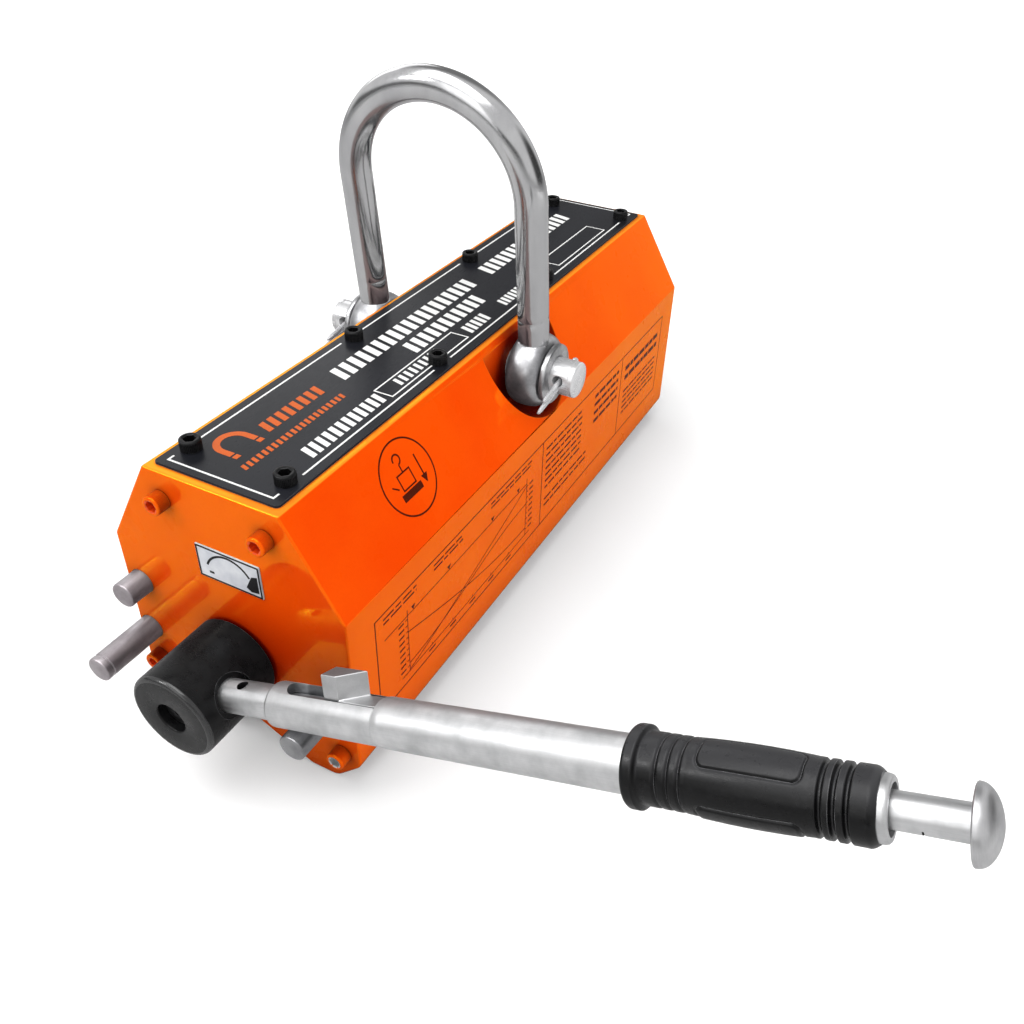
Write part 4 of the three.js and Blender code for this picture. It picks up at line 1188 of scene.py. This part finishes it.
def shackle():
    mesh = combine(shackle_bar(), [shackle_eye(1), shackle_eye(-1)], "UNION")
    bore = rod(EYE_BORE, -100, 100, 96, Matrix.Rotation(math.pi / 2, 4, "Z"))
    mesh = combine(mesh, [bore])
    for face in mesh.faces:
        middle = face.calc_center_median()
        on_bar = abs(math.hypot(middle.x, abs(middle.y) - LEG_Y) - BAR_RADIUS) < 0.3
        face.material_index = 1 if middle.z < EYE_RADIUS + 1 and not on_bar else 0
    return mesh


add_piece("shackle_forged", shackle(), "shackle", (POLISHED, FORGED), SHACKLE, ("shackle",), sharp=38)


# ---- Hub -----------------------------------------------------------------------------------------------------------------------------

HUB_RADIUS = 25.6
HUB_BACK = cad_box_mm("hub")[1].x
HUB_FRONT = cad_box_mm("hub")[0].x
HUB_FILLET = 2.4
ROD_RADIUS = 8.75
LOCK_RADIUS = 9.0
SHAFT_RADIUS = 12.3


def hub():
    """Turned hub with a rubbed, shinier round on its front rim."""
    rings = [(HUB_FRONT, 0.5)]
    rings += [(HUB_FRONT + HUB_FILLET - a, HUB_RADIUS - HUB_FILLET + r)
              for a, r in arc((0, 0), HUB_FILLET, 0, 90, 8)]
    rings += [(HUB_BACK - 0.8, HUB_RADIUS), (HUB_BACK, HUB_RADIUS - 0.8), (HUB_BACK, 0.5)]
    mesh = turned(rings, 160)
    to_handle = SHAFT.inverted() @ HANDLE
    to_handle.translation /= MM
    tools = [
        rod(ROD_RADIUS + 0.3, -14.5, 40, 64, to_handle),
        rod(12, HUB_RADIUS - 3, 40, 64, to_handle),
        rod(SHAFT_RADIUS, -249.5, HUB_BACK + 2, 64),
        rod(LOCK_RADIUS, HUB_FRONT - 2, HANDLE_X, 64),
        block((-248.3, HUB_BACK + 1), (-4.3, 4.3), (7, 16.4)),
    ]
    mesh = combine(mesh, tools)

    def mouth(edge):
        middle = edge_middle(edge)
        radius = math.hypot(middle.y, middle.z)
        front = abs(middle.x - HUB_FRONT) < 0.05 and abs(radius - LOCK_RADIUS) < 0.2
        return sharpness(edge) > 40 and front

    bevel_edges(mesh, mouth, 0.9, 3)
    for face in mesh.faces:
        middle = face.calc_center_median()
        on_rim = HUB_FRONT + 0.02 < middle.x < HUB_FRONT + HUB_FILLET
        outside = math.hypot(middle.y, middle.z) > HUB_RADIUS - HUB_FILLET
        face.material_index = 1 if on_rim and outside else 0
    return mesh


add_piece("hub_turned", hub(), "handle", (HUB_BLACK, HUB_RIM), SHAFT, ("hub",))


def lock_screw():
    low, high = cad_box_mm("hub_lock_screw")
    radius = (high.y - low.y) / 2
    rings = [(low.x + 4.4, 0.4), (low.x + 4.0, hexagon(3.6)), (low.x + 0.4, hexagon(3.6)), (low.x, 4.9),
             (low.x, radius - 0.8), (low.x + 0.8, radius), (high.x, radius), (high.x, 0.5)]
    return turned(rings, 96)


add_piece("hub_lock_screw_turned", lock_screw(), "handle", (BLACK_OXIDE,), SHAFT, ("hub_lock_screw",))


# ---- Handle -------------------------------------------------------------------------------------------------------------------------------

SLEEVE_RADIUS = 11.3
SLEEVE_START = 57
SLEEVE_END = 124.5
SLOT_START = 67.3
SLOT_HALF = 6.6
TUBE_RADIUS = 11.6
TUBE_END = 340.5
PLUNGER_START = 66
PLUNGER_RADIUS = 6.5
PLUNGER_BORE = 6.85
CROSS_HOLE_T = 36
CROSS_HOLE_RADIUS = 3.0
LATCH_TURN = Matrix.Rotation(-LATCH_LEAN, 4, "X")


def handle_rod():
    """Rod, rounded step and slotted sleeve, turned from one bar."""
    rings = [(-14, 0.5), (-14, ROD_RADIUS - 0.6), (-13.4, ROD_RADIUS), (SLEEVE_START - 0.9, ROD_RADIUS),
             (SLEEVE_START - 0.5, ROD_RADIUS - 0.45), (SLEEVE_START, ROD_RADIUS - 0.45)]
    rings += [(SLEEVE_START + 2.6 - 2.6 * math.cos(angle), SLEEVE_RADIUS - 2.4 + 2.4 * math.sin(angle))
              for angle in (math.radians(15 * step) for step in range(7))]
    rings += [(SLEEVE_END - 0.5, SLEEVE_RADIUS), (SLEEVE_END, SLEEVE_RADIUS - 0.5), (SLEEVE_END, 0.5)]
    mesh = turned(rings, 128)
    upright = Matrix.Rotation(-math.pi / 2, 4, "Y")
    slot_round = rod(SLOT_HALF, 0, 20, 96, Matrix.Translation((SLOT_START + SLOT_HALF, 0, 0)) @ upright)
    slot_run = block((SLOT_START + SLOT_HALF, SLEEVE_END + 1), (-SLOT_HALF, SLOT_HALF), (0, 20))
    for part in (slot_round, slot_run):
        part.transform(LATCH_TURN)
    cross_hole = rod(CROSS_HOLE_RADIUS, -20, 20, 40, Matrix.Translation((CROSS_HOLE_T, 0, 0)) @ upright)
    bore = rod(PLUNGER_BORE, PLUNGER_START - 21, SLEEVE_END + 1, 64)
    mesh = combine(mesh, [bore, slot_round, cross_hole, slot_run])

    def slot_rim(edge):
        middle = edge_middle(edge)
        radius = math.hypot(middle.y, middle.z)
        outer = radius > SLEEVE_RADIUS - 0.3 and SLOT_START - 1 < middle.x < SLEEVE_END - 1
        hole = abs(middle.x - CROSS_HOLE_T) < 4 and radius > ROD_RADIUS - 0.7
        return sharpness(edge) > 35 and (outer or hole)

    bevel_edges(mesh, slot_rim, 0.35, 2)
    # Painted shade: the cross hole's inner wall takes black oxide and the slot's inner faces take darker machined
    # steel, standing for the shade inside them.
    for face in mesh.faces:
        middle = face.calc_center_median()
        hole_shade = abs(middle.x - CROSS_HOLE_T) < CROSS_HOLE_RADIUS and math.hypot(middle.y, middle.z) < ROD_RADIUS - 0.6
        slot_shade = SLOT_START < middle.x < SLEEVE_END - 0.5 and math.hypot(middle.y, middle.z) < SLEEVE_RADIUS - 0.5
        face.material_index = 1 if hole_shade else 2 if slot_shade else 0
    return mesh


# The black oxide and machined steel slots paint the shade in the cross hole and the slot.
add_piece("handle_rod_turned", handle_rod(), "handle", (ZINC, BLACK_OXIDE, MACHINED), HANDLE, ("handle_rod",))


def handle_tube():
    """Drawn tube: a soft weld shoulder at its inner end and a faced outer end."""
    def weld(angle):
        return TUBE_RADIUS + 0.05 + 0.3 * noise.noise(Vector((3 * math.cos(angle), 3 * math.sin(angle), 4.0)))

    rings = [(SLEEVE_END, 9.0), (SLEEVE_END, SLEEVE_RADIUS - 0.15), (SLEEVE_END + 0.7, SLEEVE_RADIUS - 0.05),
             (SLEEVE_END + 2.2, weld), (SLEEVE_END + 4.5, weld), (SLEEVE_END + 8, TUBE_RADIUS)]
    rings += [(135 + 6 * step, TUBE_RADIUS) for step in range(34)]
    rings += [(TUBE_END - 1.6, TUBE_RADIUS), (TUBE_END - 0.5, TUBE_RADIUS - 0.35),
              (TUBE_END, TUBE_RADIUS - 0.9), (TUBE_END, 9.0)]
    return turned_ring(rings, 96)


add_piece("handle_tube_drawn", handle_tube(), "handle", (ZINC,), HANDLE, ("handle_tube",))


def end_bush():
    """Guide bush, set back a little inside the end of the tube."""
    face_t = TUBE_END - 2.4
    return turned_ring([
        (TUBE_END - 12, PLUNGER_BORE), (TUBE_END - 12, 8.95), (face_t - 0.3, 8.95), (face_t, 8.6),
        (face_t, PLUNGER_BORE + 0.5), (face_t - 0.5, PLUNGER_BORE)], 96)


add_piece("tube_end_bush_turned", end_bush(), "handle", (BLACK_OXIDE,), HANDLE, ("tube_end_bush",))


# ---- Grip -------------------------------------------------------------------------------------------------------------------------------------

GRIP_START = 248
GRIP_END = 337.5
FINE_GROOVES = (261.2, 265.7, 270.2)
DEEP_GROOVES = (319.4, 323.8, 328.2)
PANEL_MIDDLE_T = 294.5
PANEL_HALF_LENGTH = 18.5
PANEL_HALF_WIDTH = 7.4
PANEL_CORNER = 3.4
PANEL_COUNT = 3
PANEL_PHASE = math.radians(90)


def smooth_step(low, high, value):
    share = min(1.0, max(0.0, (value - low) / (high - low)))
    return share * share * (3 - 2 * share)


def grip_body_radius(t):
    """Grip radius along the handle: lip, neck, swelling body and end band."""
    neck = 13.9
    if t < GRIP_START + 10:
        lip = 16.1
        front = min(1.0, max(0.0, (t - GRIP_START) / 1.7))
        rise = math.sqrt(max(0.0, 1 - (1 - front) ** 2))
        fall = smooth_step(GRIP_START + 4.6, GRIP_START + 6.2, t)
        return neck + (lip - neck) * (0.25 + 0.75 * rise) - fall * (lip - neck)
    if t < 273:
        return neck
    if t < 316:
        share = (t - 273) / 43
        return neck + 0.7 * math.sin(math.pi * share) ** 0.8 - 0.3 * share
    base = 13.6
    if t > GRIP_END - 3.0:
        share = (t - (GRIP_END - 3.0)) / 3.0
        base -= 1.7 * share ** 1.8
    return base


def groove_depth(t):
    depth = 0.0
    for groove in FINE_GROOVES:
        depth = max(depth, 0.85 * math.exp(-((t - groove) / 0.6) ** 2))
    for groove in DEEP_GROOVES:
        depth = max(depth, 1.75 * math.exp(-((t - groove) / 0.85) ** 4))
    return depth


def panel_height(t, angle):
    """Raised moulded panels with a fine groove round each one."""
    pitch = TURN / PANEL_COUNT
    offset = (angle - PANEL_PHASE + pitch / 2) % pitch - pitch / 2
    u = abs(t - PANEL_MIDDLE_T) - (PANEL_HALF_LENGTH - PANEL_CORNER)
    v = abs(offset) * 14 - (PANEL_HALF_WIDTH - PANEL_CORNER)
    distance = math.hypot(max(u, 0), max(v, 0)) + min(max(u, v), 0) - PANEL_CORNER
    return 0.35 * smooth_step(0.4, -0.4, distance) - 0.75 * math.exp(-(distance / 0.5) ** 2)


def grip():
    rings = [(GRIP_START, TUBE_RADIUS + 0.05)]
    t = GRIP_START + 0.05
    while t < GRIP_END:
        radius = grip_body_radius(t) - groove_depth(t)
        if abs(t - PANEL_MIDDLE_T) < PANEL_HALF_LENGTH + 2:
            rings.append((t, lambda angle, at=t, r=radius: r + panel_height(at, angle)))
        else:
            rings.append((t, radius))
        t += 0.15 if t < GRIP_START + 2 else 0.3
    rings.append((GRIP_END, lambda angle: TUBE_RADIUS + 0.3 + 0.12 * math.sin(7 * angle)))
    rings.append((GRIP_END - 0.6, TUBE_RADIUS + 0.05))
    return turned_ring(rings, 192)


add_piece("grip_moulded", grip(), "handle", (RUBBER,), HANDLE, ("grip",), sharp=50)


# ---- Latch ---------------------------------------------------------------------------------------------------------------------------------------

BLOCK_START = 93.4
BLOCK_END = 123.9
BLOCK_HALF = 5.45
BLOCK_TOP = 21.1
BLOCK_SHELF = 9.3
RAMP_START = 102.6
RAMP_END = 112.9
KNOB_T = 364.9
KNOB_RADIUS = 13.5
KNOB_END = 373.3


def plunger():
    rings = [(PLUNGER_START, 0.5), (PLUNGER_START, PLUNGER_RADIUS - 0.8), (PLUNGER_START + 0.8, PLUNGER_RADIUS),
             (SLEEVE_END + 2, PLUNGER_RADIUS), (KNOB_T + 1.8, PLUNGER_RADIUS), (KNOB_T + 1.8, 0.5)]
    mesh = turned(rings, 96)
    recess = block((BLOCK_START - 0.3, BLOCK_END + 0.3), (-8, 8), (2.7, 10))
    recess.transform(LATCH_TURN)
    mark = block((350.0, 350.7), (-8, -2.5), (-5.4, -0.8))
    mesh = combine(mesh, [recess, mark])
    # Painted shade: the plunger's faces inside the sleeve take darker machined steel for the shade there; the small
    # mark takes black oxide.
    for face in mesh.faces:
        middle = face.calc_center_median()
        in_mark = 349.9 < middle.x < 350.8 and math.hypot(middle.y, middle.z) < PLUNGER_RADIUS - 0.05
        face.material_index = 2 if in_mark else 1 if middle.x < SLEEVE_END + 2 else 0
    return mesh


add_piece("plunger_turned", plunger(), "latch", (ZINC, MACHINED, BLACK_OXIDE), HANDLE, ("plunger",))


def latch_block():
    """Milled block with its outer front corner cut back as a ramp, down to a low shelf."""
    base = block((BLOCK_START, BLOCK_END), (-BLOCK_HALF, BLOCK_HALF), (3, BLOCK_TOP))
    slope = (RAMP_END - RAMP_START) / (2 * BLOCK_HALF)
    ramp = prism([
        (RAMP_START - slope, -BLOCK_HALF - 1), (BLOCK_END + 1, -BLOCK_HALF - 1),
        (BLOCK_END + 1, BLOCK_HALF + 1), (RAMP_END + slope, BLOCK_HALF + 1)], BLOCK_SHELF, BLOCK_TOP + 8, flat)
    mesh = combine(base, [ramp])
    bevel_edges(mesh, lambda edge: sharpness(edge) > 15 and edge_middle(edge).z > BLOCK_SHELF - 0.3, 0.6, 3)
    mesh.transform(LATCH_TURN)
    return mesh


add_piece("latch_block_milled", latch_block(), "latch", (LATCH_STEEL,), HANDLE, ("latch_block",), weighted=True)


def knob():
    """Mushroom knob: a short collar, a thin rim and a low dome."""
    rings = [(KNOB_T + 2.1, 0.5), (KNOB_T + 2.1, PLUNGER_RADIUS + 0.1), (KNOB_T + 0.2, PLUNGER_RADIUS + 0.1),
             (KNOB_T, PLUNGER_RADIUS + 0.4), (KNOB_T, KNOB_RADIUS - 0.8), (KNOB_T + 0.2, KNOB_RADIUS - 0.3),
             (KNOB_T + 0.6, KNOB_RADIUS), (KNOB_T + 1.1, KNOB_RADIUS - 0.1)]
    dome = KNOB_END - (KNOB_T + 1.1)
    rings += [(KNOB_T + 1.1 + dome * math.sin(a), (KNOB_RADIUS - 0.1) * math.cos(a) ** 1.05)
              for a in (math.radians(5 * step) for step in range(1, 18))]
    rings.append((KNOB_END, 0.6))
    return turned(rings, 96)


add_piece("knob_turned", knob(), "latch", (TURNED,), HANDLE, ("knob",))


# ---- Pieces that keep their CAD shape --------------------------------------------------------------------------------------------------------------

CARRIED = {
    "top_spacer": ALUMINIUM, "separator_strip": BRONZE, "fixed_magnet_front": NICKEL, "fixed_magnet_rear": NICKEL,
    "front_bush": BRONZE, "rear_bush": BRONZE, "rotor_pole_left": MACHINED, "rotor_pole_right": MACHINED,
    "rotor_magnet_front": NICKEL, "rotor_magnet_rear": NICKEL, "front_shaft": MACHINED, "rear_shaft": MACHINED,
    "hub_key": MACHINED, "spring_seat": MACHINED, "latch_screw": MACHINED, "plunger_collar": MACHINED,
    "latch_spring": MACHINED,
}
for node, material in CARRIED.items():
    slots = nodes[node].data.materials
    slots.clear()
    slots.append(material)


# ---- Floor, light and camera --------------------------------------------------------------------------------------------------------------------------

def floor():
    """Pale floor that fades into the white background, a little greyer where it lights the object."""
    mesh = bmesh.new()
    radius = 6.0
    rim = [mesh.verts.new((radius * math.cos(TURN * i / 64), radius * math.sin(TURN * i / 64), FOOT_Z - 0.0004))
           for i in range(64)]
    mesh.faces.new(rim)
    data = bpy.data.meshes.new("floor")
    mesh.to_mesh(data)
    mesh.free()
    graph = Graph("floor_white", (0.92, 0.92, 0.92, 1), roughness=0.6, Specular_IOR_Level=0.15)
    path = graph.node("ShaderNodeLightPath")
    seen = path.outputs["Is Camera Ray"]
    lit = graph.mix(path.outputs["Is Glossy Ray"], (0.62, 0.62, 0.62, 1), (0.5, 0.5, 0.5, 1))
    graph.colour(graph.mix(seen, lit, (0.92, 0.92, 0.92, 1)))
    distance = graph.node("ShaderNodeVectorMath", {0: graph.position}, operation="LENGTH").outputs["Value"]
    glow = graph.math("MULTIPLY", graph.remap(distance, 0.25, 1.3, 0.09, 0.7), seen)
    graph.shader.inputs["Emission Color"].default_value = (1, 1, 1, 1)
    graph.tree.links.new(glow, graph.shader.inputs["Emission Strength"])
    data.materials.append(graph.material)
    obj = bpy.data.objects.new("floor", data)
    bpy.context.scene.collection.objects.link(obj)


STUDIO_LEVEL = 0.8
HORIZON_SHADE = 0.85
STUDIO_OPENINGS = (
    ((0.5, -0.86, 0.1), 0.80, 0.96, 0.08),
    ((0.71, 0.36, 0.60), 0.75, 0.96, 0.3),
)


def area_light(name, location, target, size, power, mirrored=True):
    data = bpy.data.lights.new(name, "AREA")
    data.shape = "RECTANGLE"
    data.size, data.size_y = size
    data.energy = power
    obj = bpy.data.objects.new(name, data)
    obj.visible_glossy = mirrored
    obj.location = location
    direction = Vector(target) - Vector(location)
    obj.rotation_euler = direction.to_track_quat("-Z", "Y").to_euler()
    bpy.context.scene.collection.objects.link(obj)


def facing(tree, direction, towards):
    """Cosine between a direction and a fixed one."""
    made = tree.nodes.new("ShaderNodeVectorMath")
    made.operation = "DOT_PRODUCT"
    made.inputs[1].default_value = Vector(towards).normalized()
    tree.links.new(direction, made.inputs[0])
    return made.outputs["Value"]


def fade(tree, value, low, high, to_low, to_high):
    """Smooth change of one value into another."""
    made = tree.nodes.new("ShaderNodeMapRange")
    made.interpolation_type = "SMOOTHSTEP"
    for key, setting in (("From Min", low), ("From Max", high), ("To Min", to_low), ("To Max", to_high)):
        made.inputs[key].default_value = setting
    tree.links.new(value, made.inputs["Value"])
    return made.outputs["Result"]


def product(tree, first, second):
    made = tree.nodes.new("ShaderNodeMath")
    made.operation = "MULTIPLY"
    tree.links.new(first, made.inputs[0])
    tree.links.new(second, made.inputs[1])
    return made.outputs["Value"]


def horizon(tree, direction):
    """Dark band along the horizon behind the camera, mirrored as a line along the round bars."""
    height = facing(tree, direction, (0, 0, 1))
    above = fade(tree, height, -0.12, 0.02, 0.0, HORIZON_SHADE)
    below = fade(tree, height, 0.10, 0.24, 1.0, 0.0)
    behind = fade(tree, facing(tree, direction, (-0.9, 0.4, 0)), 0.2, 0.6, 0.0, 1.0)
    band = product(tree, product(tree, above, below), behind)
    inverse = tree.nodes.new("ShaderNodeMath")
    inverse.operation = "SUBTRACT"
    inverse.inputs[0].default_value = 1.0
    tree.links.new(band, inverse.inputs[1])
    return inverse.outputs["Value"]


def world():
    """White to the camera; to everything lit or mirrored, a bright studio with two dark openings."""
    made = bpy.data.worlds.new("studio")
    made.use_nodes = True
    tree = made.node_tree
    tree.nodes.clear()
    direction = tree.nodes.new("ShaderNodeTexCoord").outputs["Generated"]
    level = None
    for towards, start, full, darkest in STUDIO_OPENINGS:
        opening = fade(tree, facing(tree, direction, towards), start, full, 1.0, darkest)
        level = opening if level is None else product(tree, level, opening)
    level = product(tree, level, horizon(tree, direction))
    strength = tree.nodes.new("ShaderNodeMath")
    strength.operation = "MULTIPLY"
    strength.inputs[1].default_value = STUDIO_LEVEL
    tree.links.new(level, strength.inputs[0])
    lighting = tree.nodes.new("ShaderNodeBackground")
    lighting.inputs["Color"].default_value = (1, 1, 1, 1)
    tree.links.new(strength.outputs["Value"], lighting.inputs["Strength"])
    seen = tree.nodes.new("ShaderNodeBackground")
    seen.inputs["Color"].default_value = (1, 1, 1, 1)
    path = tree.nodes.new("ShaderNodeLightPath")
    mix = tree.nodes.new("ShaderNodeMixShader")
    output = tree.nodes.new("ShaderNodeOutputWorld")
    tree.links.new(path.outputs["Is Camera Ray"], mix.inputs["Fac"])
    tree.links.new(lighting.outputs["Background"], mix.inputs[1])
    tree.links.new(seen.outputs["Background"], mix.inputs[2])
    tree.links.new(mix.outputs["Shader"], output.inputs["Surface"])
    bpy.context.scene.world = made


def camera():
    """Low three-quarter view of the handle end."""
    data = bpy.data.cameras.new("camera")
    data.sensor_width = 36
    data.lens = 33.54
    obj = bpy.data.objects.new("camera", data)
    azimuth, tilt, roll = math.radians(26.68), math.radians(-37.06), math.radians(1.83)
    forward = Vector((math.cos(azimuth) * math.cos(tilt), math.sin(azimuth) * math.cos(tilt), math.sin(tilt)))
    level = forward.cross(Vector((0, 0, 1))).normalized()
    upright = level.cross(forward)
    right = level * math.cos(roll) + upright * math.sin(roll)
    up = upright * math.cos(roll) - level * math.sin(roll)
    matrix = Matrix((right, up, -forward)).transposed().to_4x4()
    matrix.translation = Vector((-490.1, -293.1, 445.2)) * MM + Vector((0, 0, FOOT_Z))
    obj.matrix_world = matrix
    bpy.context.scene.collection.objects.link(obj)
    bpy.context.scene.camera = obj


floor()
world()
area_light("overhead_softbox", (-0.5, 0.2, 1.7), (0, 0, 0.05), (1.6, 1.2), 17)
area_light("key_softbox", (-1.3, 1.2, 1.35), (-0.1, 0, 0.1), (0.45, 0.45), 9)
area_light("front_softbox", (-1.7, 0.2, 0.9), (-0.1, 0, 0.1), (0.9, 1.3), 4)
area_light("side_softbox", (0.4, -1.8, 0.5), (0.1, 0, 0.1), (1.2, 0.9), 16, mirrored=False)
area_light("back_softbox", (1.2, 1.5, 1.1), (0, 0, 0.1), (1.2, 0.9), 5)
camera()
bpy.context.scene.view_settings.view_transform = "Standard"
